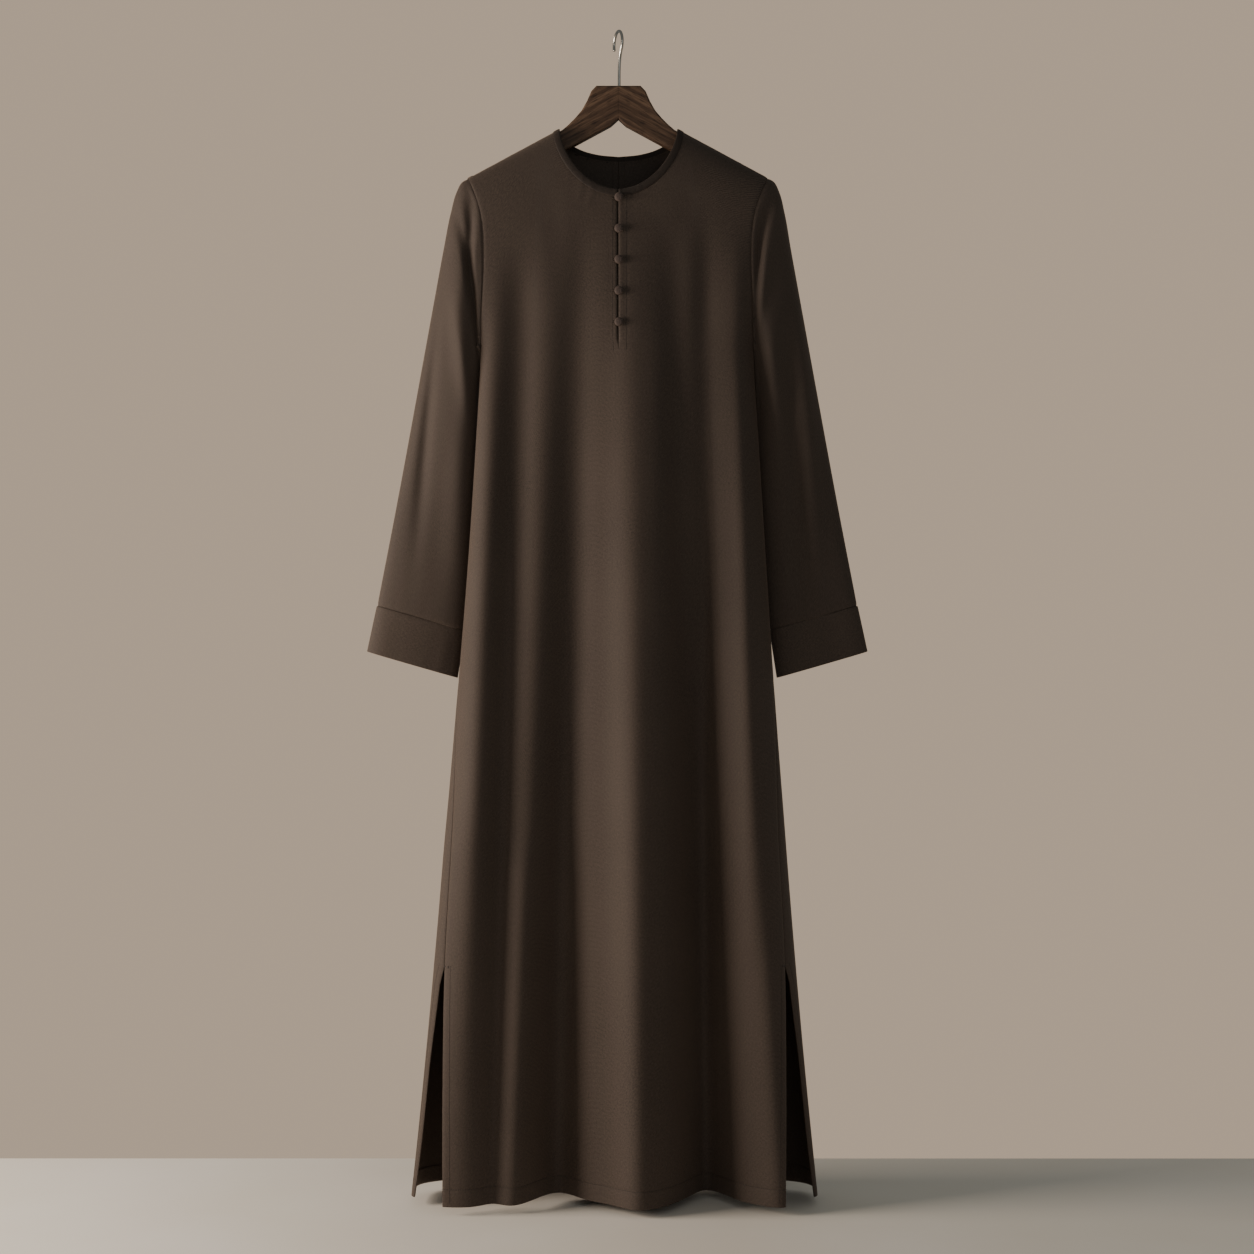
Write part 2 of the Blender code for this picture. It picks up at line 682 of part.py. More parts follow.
def cuff(name, side):
    """One cuff, a double layer that stands a little proud of the sleeve."""
    mirror = np.array([side, 1.0])
    proud = np.array([CUFF_PROUD, 0.0])
    top_depth = float(read(SLEEVE, SLEEVE_NAMES, "half_depth", 1.0)) + CUFF_PROUD
    middle = float(read(SLEEVE, SLEEVE_NAMES, "middle", 1.0))
    rings = []
    for share in CUFF_SHARES:
        outer = (1 - share) * np.array(CUFF_OUTER[0]) + share * np.array(CUFF_OUTER[1])
        inner = (1 - share) * np.array(CUFF_INNER[0]) + share * np.array(CUFF_INNER[1])
        outer = (outer + proud) * mirror + underarm_shift()
        inner = (inner - proud) * mirror + underarm_shift()
        half_depth = (1 - share) * top_depth + share * CUFF_DEPTH_END
        rings.append(plain_ring(outer, inner, middle, half_depth, ring_angles()))
    mesh = sheet_mesh(name, [rings], side > 0, closed=True)
    add_wall(new_object(name, mesh, "crepe"), CUFF_WALL)


def binding_strip(table, side, place, base, out):
    """Points across the neck's strip at one station, from its inner to its outer edge."""
    strip = []
    for share in BINDING_SHARES:
        flat = base + out * BINDING_WIDTH * share
        at_slit = base[0] < SAME_POINT and table is NECK_FRONT
        across = PLACKET_HALF if at_slit else flat[0]
        point = place(np.array(across * side), np.array(flat[1]))
        if base[0] > SHOULDER_POINT:
            point[1] = 0.0
        strip.append(point)
    return strip


def neck_binding():
    """The narrow strip round the neck, open at the slit."""
    front = neck_shares(NECK_COLUMNS)
    back = neck_shares(BACK_NECK_COLUMNS)
    stations = []
    for side, table, shares, place in (
        (-1, NECK_FRONT, front, front_place),
        (-1, NECK_BACK, back[::-1][1:], back_place),
        (1, NECK_BACK, back[1:], back_place),
        (1, NECK_FRONT, front[::-1][1:], front_place),
    ):
        edge = walk(table, shares)
        outward = neck_out(table, shares)
        for base, out in zip(edge, outward, strict=True):
            stations.append(binding_strip(table, side, place, base, out))
    mesh = sheet_mesh("neck_binding", [stations], False)
    add_wall(new_object("neck_binding", mesh, "binding"), BINDING_WALL, BINDING_OFFSET)


def front_frame(height):
    """Where a button sits, with the upward and outward directions of the front there."""
    across = np.array(BUTTON_ACROSS)
    above = front_place(across, np.array(height + BUTTON_SPAN))
    below = front_place(across, np.array(height - BUTTON_SPAN))
    up = Vector(above - below).normalized()
    out = Vector((1, 0, 0)).cross(up).normalized()
    return Vector(front_place(across, np.array(height))), up, out


def button(name, height, lift):
    """A covered button: a domed head on a short shank, turned about its own axis."""
    profile = [
        (BUTTON_RADIUS * wide, SHANK_HEIGHT + HEAD_HEIGHT * high)
        for wide, high in HEAD_PROFILE
    ]
    profile += [(SHANK_RADIUS, SHANK_HEIGHT), (SHANK_RADIUS, 0.0), (0.0, 0.0)]
    mesh = bpy.data.meshes.new(name)
    edges = [(k, k + 1) for k in range(len(profile) - 1)]
    mesh.from_pydata([(x, 0.0, z) for x, z in profile], edges, [])
    made = new_object(name, mesh, "button")
    turned = made.modifiers.new("Turned", "SCREW")
    turned.axis = "Z"
    turned.steps = BUTTON_SIDES
    turned.render_steps = BUTTON_SIDES
    turned.use_merge_vertices = True
    turned.merge_threshold = SAME_POINT
    base, up, out = front_frame(height)
    frame = Matrix((Vector((1, 0, 0)), up, out)).transposed().to_4x4()
    made.matrix_world = Matrix.Translation(base + out * (BUTTON_SEAT + lift)) @ frame


def poly_curve(name, points, cyclic):
    """A curve of straight steps through the points."""
    line = bpy.data.curves.new(name, "CURVE")
    spline = line.splines.new("POLY")
    spline.points.add(len(points) - 1)
    for corner, point in zip(spline.points, points, strict=True):
        corner.co = (*point, 1.0)
    spline.use_cyclic_u = cyclic
    return line


def wire_object(name, points, radius, material, resolution):
    """A round wire through the points, with closed ends."""
    line = poly_curve(name, points, False)
    line.dimensions = "3D"
    line.bevel_depth = radius
    line.bevel_resolution = resolution
    line.use_fill_caps = True
    new_object(name, line, material)


def button_loop(name, height, lift):
    """A hairpin of cord from the slit's left edge, round the button's shank."""
    base, up, out = front_frame(height)
    right = Vector((1, 0, 0))
    flat = [(-before, LOOP_HALF * share) for before, share in LOOP_SIDE]
    for k in range(LOOP_ROUND_STEPS + 1):
        angle = math.pi / 2 - math.pi * k / LOOP_ROUND_STEPS
        flat.append((LOOP_HALF * math.cos(angle), LOOP_HALF * math.sin(angle)))
    flat += [(-before, -LOOP_HALF * share) for before, share in LOOP_SIDE[::-1]]
    points = [base + right * x + up * z + out * (LOOP_LIFT + lift) for x, z in flat]
    wire_object(name, points, LOOP_WIRE, "binding", 1)


def hanger_outline():
    """The whole hanger's outline seen from the front, as (across, height)."""
    line_at = WOOD_BELOW_LINE
    tip_top = shoulder_height(WOOD_END) - line_at
    half = [(0.0, WOOD_MIDDLE_TOP), *HANGER_NECK]
    half += [(x, shoulder_height(x) - line_at) for x in HANGER_TOP_PLACES]
    half += [(WOOD_END - inward, tip_top - below) for inward, below in HANGER_TIP]
    under = line_at + WOOD_HEIGHT
    half += [(x, shoulder_height(x) - under) for x in HANGER_UNDER_PLACES]
    half.append((0.0, shoulder_height(HANGER_ARCH) - under))
    return half + [(-x, z) for x, z in half[-2:0:-1]]


def whole_hanger():
    """The wooden hanger before it is parted into its two halves."""
    points = [(x, z, 0.0) for x, z in hanger_outline()]
    line = poly_curve("hanger outline", points, True)
    line.dimensions = "2D"
    line.fill_mode = "BOTH"
    line.extrude = WOOD_HALF
    drawn = new_object("hanger outline", line, None)
    graph = bpy.context.evaluated_depsgraph_get()
    mesh = bpy.data.meshes.new_from_object(drawn.evaluated_get(graph))
    bpy.data.objects.remove(drawn)
    shape = bmesh.new()
    shape.from_mesh(mesh)
    bmesh.ops.remove_doubles(shape, verts=shape.verts, dist=SAME_POINT)
    bmesh.ops.dissolve_limit(
        shape, angle_limit=FLAT_ANGLE, verts=shape.verts, edges=shape.edges
    )
    upright = Matrix.Rotation(math.pi / 2, 3, "X")
    bmesh.ops.rotate(shape, verts=shape.verts, cent=(0, 0, 0), matrix=upright)
    rim = [edge for edge in shape.edges if edge.calc_face_angle(0.0) > RIM_ANGLE]
    bmesh.ops.bevel(
        shape, geom=rim, offset=WOOD_CHAMFER, segments=2, profile=0.5, affect="EDGES"
    )
    return shape


def hanger_arm(name, side, bore):
    """One half of the hanger, cut at the middle joint, with its part of the stem's hole."""
    shape = whole_hanger()
    bmesh.ops.bisect_plane(
        shape,
        geom=shape.verts[:] + shape.edges[:] + shape.faces[:],
        plane_co=(side * HALF_GAP / 2, 0, 0),
        plane_no=(-side, 0, 0),
        clear_outer=True,
    )
    open_edges = [edge for edge in shape.edges if edge.is_boundary]
    bmesh.ops.holes_fill(shape, edges=open_edges, sides=0)
    bmesh.ops.recalc_face_normals(shape, faces=shape.faces)
    made = new_object(name, mesh_from(name, shape), "walnut")
    cut = made.modifiers.new("Stem hole", "BOOLEAN")
    cut.operation = "DIFFERENCE"
    cut.object = bore


def stem_hole():
    """The cutter for the hole that takes the hook's stem."""
    shape = bmesh.new()
    bmesh.ops.create_cone(
        shape,
        cap_ends=True,
        segments=BORE_SIDES,
        radius1=BORE_RADIUS,
        radius2=BORE_RADIUS,
        depth=BORE_LENGTH,
    )
    made = new_object("stem hole", mesh_from("stem hole", shape), None, CUTTERS)
    made.location = (STEM_ACROSS, 0.0, STEM_END - BORE_BELOW + BORE_LENGTH / 2)
    made.hide_render = True
    made.display_type = "WIRE"
    return made


def hanger_hook():
    """The steel hook: a stem, a bend forward, and an arc over the rail."""
    forward = Vector((math.sin(HOOK_TURN), -math.cos(HOOK_TURN), 0.0))
    upward = Vector((0.0, 0.0, 1.0))
    radius = HOOK_INNER + WIRE
    middle = Vector((*HOOK_MIDDLE, -HOOK_INNER))
    cosine, sine = math.cos(HOOK_FRONT_ANGLE), math.sin(HOOK_FRONT_ANGLE)
    start = middle + radius * (cosine * forward + sine * upward)
    leave = cosine * upward - sine * forward
    stem = Vector((STEM_ACROSS, 0.0, STEM_TOP))
    points = [Vector((STEM_ACROSS, 0.0, z)) for z in (STEM_END, STEM_STRAIGHT)]
    for k in range(HOOK_BEND_STEPS + 1):
        t = k / HOOK_BEND_STEPS
        rise = 3 * t**2 - 2 * t**3
        from_stem = upward * HOOK_PULL * (t**3 - 2 * t**2 + t)
        to_arc = leave * HOOK_PULL * (t**3 - t**2)
        points.append(stem * (1 - rise) + start * rise + from_stem + to_arc)
    turn = (HOOK_BACK_ANGLE - HOOK_FRONT_ANGLE) / HOOK_ARC_STEPS
    for k in range(1, HOOK_ARC_STEPS + 1):
        angle = HOOK_FRONT_ANGLE + turn * k
        points.append(middle + radius * (math.cos(angle) * forward + math.sin(angle) * upward))
    wire_object("hanger_hook", points, WIRE, "steel", 2)


def main():
    """Builds the abaya on its hanger."""
    for old in list(bpy.data.objects):
        bpy.data.objects.remove(old)
    for name in (GARMENT, CUTTERS):
        bpy.context.scene.collection.children.link(bpy.data.collections.new(name))
    front_panel()
    back_panel("back_panel_left", -1)
    back_panel("back_panel_right", 1)
    sleeve("sleeve_left", -1)
    sleeve("sleeve_right", 1)
    cuff("cuff_left", -1)
    cuff("cuff_right", 1)
    neck_binding()
    for number in range(BUTTON_COUNT):
        height = BUTTON_TOP - BUTTON_PITCH * number
        lift = BINDING_PROUD if number == 0 else 0.0
        button(f"button_{number + 1}", height, lift)
        button_loop(f"button_loop_{number + 1}", height, lift)
    bore = stem_hole()
    hanger_arm("hanger_arm_left", -1, bore)
    hanger_arm("hanger_arm_right", 1, bore)
    hanger_hook()


main()
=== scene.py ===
"""Looks of a closed abaya that hangs on a wooden hanger.

Metres, +Z up, the front faces -Y and the origin is the inner top of the hook.
Left is the side of -X, as seen from the front. Each cut piece is a thin cloth
shell on the form of its solid, with the finer creases, turned edges, stitches
and finishes of the real one.
"""

import logging
import math
from dataclasses import dataclass, field
from enum import Enum
from typing import Any

import bmesh
import bpy
import numpy as np
from mathutils import Matrix, Vector


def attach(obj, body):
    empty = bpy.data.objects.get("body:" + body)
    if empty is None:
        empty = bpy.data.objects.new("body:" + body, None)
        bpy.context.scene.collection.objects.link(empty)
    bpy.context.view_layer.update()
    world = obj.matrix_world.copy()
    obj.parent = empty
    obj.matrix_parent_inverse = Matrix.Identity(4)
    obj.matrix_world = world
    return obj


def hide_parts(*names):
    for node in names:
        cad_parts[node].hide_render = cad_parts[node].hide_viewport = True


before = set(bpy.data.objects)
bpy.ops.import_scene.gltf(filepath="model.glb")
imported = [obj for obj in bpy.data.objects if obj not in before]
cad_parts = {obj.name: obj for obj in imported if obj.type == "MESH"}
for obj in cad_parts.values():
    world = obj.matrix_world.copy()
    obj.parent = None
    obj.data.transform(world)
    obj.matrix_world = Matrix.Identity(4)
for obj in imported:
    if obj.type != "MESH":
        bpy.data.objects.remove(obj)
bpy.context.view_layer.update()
LOG = logging.getLogger("closed_abaya")
Array = np.ndarray
Row = tuple[float, ...]
SAME_POINT = 0.00001
TINY = 1e-12
CLOTH = 0.0009  # thickness of the cloth
ROLL_POWER = 1.6  # how squarely cloth rolls into a seam
TURN_ROWS = 8  # rows of a hem's turning
ALLOWANCE_ROWS = ((0.04, 0.5), (0.3, 1.0), (1.0, 1.3))  # shares of its depth and gap


class Side(Enum):
    """The two sides of the garment, as seen from the front."""

    LEFT = -1
    RIGHT = 1


class Face(Enum):
    """The two faces of the body."""

    FRONT = "front"
    BACK = "back"


def smooth_step(value: Array | float) -> Array:
    """0 below 0, 1 above 1, and a smooth rise between."""
    value = np.clip(value, 0.0, 1.0)
    return value * value * (3.0 - 2.0 * value)


def smooth_curve(places: Array, values: Array, at: Array | float) -> Array:
    """Reads a cubic through the values, whose slopes come from their neighbours.

    Args:
        places: Where the values stand, rising.
        values: The values.
        at: Where to read.

    Returns:
        The curve's values at those places.
    """
    slopes = np.gradient(values, places)
    at = np.clip(at, places[0], places[-1])
    left = np.clip(np.searchsorted(places, at, side="right") - 1, 0, len(places) - 2)
    span = places[left + 1] - places[left]
    t = (at - places[left]) / span
    rise = 3 * t**2 - 2 * t**3
    ends = values[left] * (1 - rise) + values[left + 1] * rise
    starts = slopes[left] * (t**3 - 2 * t**2 + t)
    return ends + span * (starts + slopes[left + 1] * (t**3 - t**2))


def distances(points: Array) -> Array:
    """Distance from a line's first point to each of its points, along the line."""
    steps = np.linalg.norm(np.diff(points, axis=0), axis=1)
    return np.concatenate(([0.0], np.cumsum(steps)))


def between(along: Array, points: Array, at: Array | float) -> Array:
    """Points of a line of straight parts, at distances along it."""
    return np.stack([np.interp(at, along, column) for column in points.T], axis=-1)


def unit(vectors: Array) -> Array:
    """The vectors at length 1."""
    return vectors / (np.linalg.norm(vectors, axis=-1, keepdims=True) + TINY)


def walk(points: Any, shares: Any, trim: float = 0.0, smooth: bool = True) -> Array:
    """Takes points at shares of the length of a line.

    Args:
        points: The line's points.
        shares: Shares of its length.
        trim: How much of its end is left out first.
        smooth: Whether a curve is led through the points.

    Returns:
        One point for each share.
    """
    points = np.asarray(points, dtype=float)
    along = distances(points)
    wanted = np.asarray(shares, dtype=float) * (along[-1] - trim)
    if not smooth:
        return between(along, points, wanted)
    return np.stack([smooth_curve(along, column, wanted) for column in points.T], axis=-1)


def superellipse(share: Array, square: Array | float) -> Array:
    """Height of a superellipse of half width and height 1, at a share of its width."""
    return (1.0 - np.clip(np.abs(share), 0.0, 1.0) ** square) ** (1.0 / square)


def uneven_wave(length: Array, pitch: float, seed: float) -> Array:
    """A wave of uneven length and height, the same on each run, from -1 to 1."""
    slow_pitch, swell_pitch, wander, swell = pitch * 0.71, pitch * 0.43, 1.9, 0.45
    slow = np.sin(length / slow_pitch + seed * 1.7)
    wave = np.sin(2 * math.pi * length / pitch + wander * slow + seed)
    return wave * (1 - swell + swell * np.sin(length / swell_pitch + seed * 3.1))


@dataclass(frozen=True)
class Table:
    """Rows of numbers under named columns, read along a smooth curve."""

    names: tuple[str, ...]
    rows: tuple[Row, ...]

    def read(self, name: str, at: Array | float) -> Array:
        """Reads a column at a value of the first one."""
        rows = np.array(self.rows)
        rows = rows if rows[0, 0] < rows[-1, 0] else rows[::-1]
        return smooth_curve(rows[:, 0], rows[:, self.names.index(name)], at)

    def records(self) -> list[dict[str, float]]:
        """Each row as a mapping from name to value."""
        return [dict(zip(self.names, row, strict=True)) for row in self.rows]


BODY = Table(("height", "half", "shift", "front", "back", "square", "seam", "back_edge"), (
    (-0.130, 0.1853, -0.0005, 0.032, 0.030, 2.4, 1.000, 1.000),
    (-0.300, 0.1853, -0.0015, 0.032, 0.030, 2.4, 1.000, 1.000),
    (-0.4365, 0.1853, -0.0018, 0.036, 0.034, 2.4, 1.000, 1.000),
    (-0.580, 0.1931, -0.0014, 0.039, 0.038, 2.4, 1.000, 1.000),
    (-0.745, 0.2036, -0.0018, 0.040, 0.044, 2.5, 1.000, 1.000),
    (-0.880, 0.2134, -0.0030, 0.041, 0.050, 2.6, 1.000, 1.000),
    (-1.075, 0.2290, -0.0040, 0.043, 0.058, 2.9, 0.957, 0.957),
    (-1.262, 0.2440, -0.0042, 0.044, 0.067, 3.3, 0.935, 0.935),
    (-1.420, 0.2590, -0.0048, 0.045, 0.075, 3.7, 0.885, 0.960),
    (-1.578, 0.2755, -0.0054, 0.046, 0.082, 4.0, 0.828, 0.981),
))
ARMHOLE = Table(("height", "seam", "hull"), (
    (-0.1993, 0.2035, 0.2800),
    (-0.2240, 0.1930, 0.2650),
    (-0.2450, 0.1862, 0.2500),
    (-0.2700, 0.1820, 0.2370),
    (-0.3000, 0.1806, 0.2275),
    (-0.3300, 0.1810, 0.2156),
    (-0.3600, 0.1825, 0.2044),
    (-0.3800, 0.1836, 0.1978),
    (-0.4000, 0.1842, 0.1912),
    (-0.4200, 0.1849, 0.1871),
    (-0.4365, 0.1853, 0.1853),
))
# Main folds, as in the solids: distance from the middle at the underarm and the hem,
# the height where each begins, its depth at the hem, and its width
FOLD_NAMES = ("at_top", "at_hem", "starts", "depth", "wide_top", "wide_hem")
FOLDS = {
    Face.FRONT: Table(FOLD_NAMES, (
        (-0.166, -0.196, -0.300, 0.030, 0.026, 0.050),
        (-0.144, -0.168, -0.420, -0.007, 0.012, 0.014),
        (-0.108, -0.134, -0.300, 0.008, 0.020, 0.024),
        (-0.054, -0.079, -0.250, -0.043, 0.023, 0.034),
        (0.022, 0.028, -0.250, 0.045, 0.034, 0.040),
        (0.094, 0.122, -0.270, -0.052, 0.026, 0.034),
        (0.160, 0.217, -0.330, 0.038, 0.026, 0.035),
    )),
    Face.BACK: Table(FOLD_NAMES, (
        (-0.130, -0.195, -0.320, 0.016, 0.026, 0.036),
        (-0.078, -0.120, -0.260, -0.040, 0.024, 0.034),
        (-0.028, -0.048, -0.300, 0.022, 0.022, 0.034),
        (0.034, 0.040, -0.330, -0.024, 0.022, 0.030),
        (0.080, 0.112, -0.260, 0.020, 0.024, 0.036),
        (0.124, 0.178, -0.300, -0.036, 0.022, 0.030),
    )),
}
# Soft creases between the main folds: from one place to another, with a bend to the
# side, a depth that is forward if positive, and a width
CREASE_NAMES = ("top", "low", "at_top", "at_low", "bend", "depth", "wide")
CREASES = {
    Face.FRONT: Table(CREASE_NAMES, (
        (-0.250, -1.640, -0.130, -0.173, 0.000, -0.0125, 0.024),
        (-0.300, -1.700, -0.172, -0.232, 0.000, 0.0120, 0.034),
        (-0.300, -1.640, -0.098, -0.130, 0.002, -0.0008, 0.020),
        (-1.050, -2.050, -0.128, -0.150, 0.000, 0.0090, 0.022),
        (-1.000, -2.200, -0.246, -0.280, 0.000, 0.0240, 0.036),
        (-0.300, -1.640, -0.070, -0.092, 0.000, -0.0030, 0.018),
        (-0.330, -1.640, -0.018, -0.026, 0.000, -0.0030, 0.022),
        (-0.300, -2.100, 0.054, 0.078, 0.000, 0.0062, 0.020),
        (-0.950, -2.200, -0.080, -0.096, 0.000, -0.0030, 0.026),
        (-0.800, -2.200, -0.036, -0.050, 0.000, 0.0045, 0.030),
        (-0.700, -2.200, 0.148, 0.184, 0.000, 0.0080, 0.026),
        (-0.240, -0.900, 0.068, 0.084, 0.000, -0.0018, 0.016),
        (-0.240, -0.950, 0.091, 0.108, 0.000, 0.0046, 0.018),
        (-0.200, -1.900, 0.118, 0.116, 0.002, -0.0090, 0.016),
        (-0.240, -1.250, 0.158, 0.178, 0.002, 0.0060, 0.016),
        (-1.000, -1.700, 0.140, 0.152, 0.000, -0.0030, 0.020),
        (-0.210, -0.246, -0.036, -0.042, 0.001, 0.0007, 0.003),
        (-0.200, -0.238, -0.048, -0.054, 0.001, 0.0006, 0.003),
        (-0.210, -0.380, -0.096, -0.080, 0.004, -0.0008, 0.016),
        (-0.210, -0.380, 0.098, 0.086, -0.004, -0.0008, 0.016),
    )),
    Face.BACK: Table(CREASE_NAMES, (
        (-0.260, -0.800, -0.052, -0.064, 0.003, 0.0022, 0.010),
        (-0.240, -0.520, 0.110, 0.096, -0.004, -0.0024, 0.014),
        (-0.240, -0.540, -0.108, -0.100, 0.004, -0.0022, 0.014),
        (-0.600, -1.450, 0.076, 0.084, 0.004, -0.0024, 0.011),
        (-0.700, -1.560, -0.150, -0.164, -0.003, 0.0026, 0.012),
        (-0.500, -1.300, 0.146, 0.150, 0.003, 0.0020, 0.010),
        (-0.820, -1.560, -0.020, -0.026, 0.002, 0.0022, 0.010),
        (-0.900, -1.560, 0.208, 0.214, 0.002, 0.0022, 0.010),
    )),
}
NECK = {
    Face.FRONT: (
        (0.0000, -0.2200),
        (0.0217, -0.2151),
        (0.0396, -0.2054),
        (0.0575, -0.1885),
        (0.0700, -0.1690),
        (0.0768, -0.1510),
        (0.0800, -0.1331),
    ),
    Face.BACK: (
        (0.0000, -0.1635),
        (0.0304, -0.1605),
        (0.0504, -0.1552),
        (0.0660, -0.1475),
        (0.0758, -0.1395),
        (0.0800, -0.1331),
    ),
}


@dataclass
class Grid:
    """The outside of a cloth piece as rows of points, from its top edge down.

    Attributes:
        points: Rows by columns by 3.
        turned: Whether the faces are wound the other way round to point outwards.
        closed: Whether the last column joins the first.
    """

    points: Array
    turned: bool = False
    closed: bool = False

    def lengths(self, axis: int) -> Array:
        """Distance from the first row (axis 0) or column (axis 1), on the cloth."""
        steps = np.linalg.norm(np.diff(self.points, axis=axis), axis=2)
        return np.concatenate(
            (np.zeros_like(steps.take([0], axis)), np.cumsum(steps, axis=axis)), axis
        )

    def to_end(self, axis: int) -> Array:
        """Distance to the last row (axis 0) or column (axis 1), on the cloth."""
        along = self.lengths(axis)
        return along.take([-1], axis) - along

    def normals(self) -> Array:
        """Unit directions away from the garment's inside."""
        if self.closed:
            ring = np.concatenate((self.points[:, -1:], self.points, self.points[:, :1]), 1)
            across = ring[:, 2:] - ring[:, :-2]
        else:
            across = np.gradient(self.points, axis=1)
        normal = unit(np.cross(np.gradient(self.points, axis=0), across))
        return -normal if self.turned else normal

    def pushed(self, amount: Array) -> "Grid":
        """The same cloth, moved outwards by an amount at each point."""
        moved = self.points + self.normals() * np.asarray(amount)[..., None]
        return Grid(moved, self.turned, self.closed)

    def line(self, axis: int, distance: float, lift: float, from_end: bool) -> Array:
        """Leads a line over the cloth at a distance from one of its edges.

        Args:
            axis: 0 for the first or last row, 1 for the first or last column.
            distance: How far from that edge.
            lift: How far above the cloth.
            from_end: Whether it is the last row or column.

        Returns:
            The line's points.
        """
        away = self.to_end(axis) if from_end else self.lengths(axis)
        raised = self.points + self.normals() * lift
        if axis == 0:
            away, raised = away.T, raised.swapaxes(0, 1)
        line = []
        for reach, points in zip(away, raised, strict=True):
            order = slice(None, None, -1) if from_end else slice(None)
            line.append(between(reach[order], points[order], distance))
        return np.array(line)

    def edge(self, axis: int, first: bool) -> tuple[Array, Array, Array]:
        """One edge of the cloth, with its normals and the directions past it."""
        here, inner = (0, 2) if first else (-1, -3)
        points = self.points.take(here, axis)
        past = unit(points - self.points.take(inner, axis))
        return points, self.normals().take(here, axis), past

    def grown(self, rows: list[Array], axis: int, first: bool) -> "Grid":
        """The cloth with more rows or columns past one of its edges."""
        rows = rows[::-1] if first else rows
        extra = np.stack(rows, axis=axis)
        parts = (extra, self.points) if first else (self.points, extra)
        return Grid(np.concatenate(parts, axis), self.turned, self.closed)

    def hemmed(self, depth: float, gap: float, axis: int = 0, first: bool = False) -> "Grid":
        """The cloth with one edge turned in behind it.

        Args:
            depth: How far the turning reaches.
            gap: How far inside the cloth it lies.
            axis: 0 for the first or last row, 1 for the first or last column.
            first: Whether it is the first row or column.

        Returns:
            A grid with the turning's rows or columns past that edge.
        """
        edge, normal, past = self.edge(axis, first)
        rows = [edge - normal * gap / 2 + past * gap / 3]
        for distance in np.linspace(gap, depth, TURN_ROWS):
            rows.append(self.line(axis, distance, -gap, not first))
        return self.grown(rows, axis, first)

    def tucked(self, depth: float, gap: float, first: bool) -> "Grid":
        """The cloth with a seam allowance that runs on behind its neighbour.

        Args:
            depth: How far it reaches past the seam.
            gap: How far inside it lies.
            first: Whether it is past the first row.

        Returns:
            A grid with the allowance's rows.
        """
        edge, normal, past = self.edge(0, first)
        rows = [edge + past * depth * u - normal * gap * v for u, v in ALLOWANCE_ROWS]
        return self.grown(rows, 0, first)


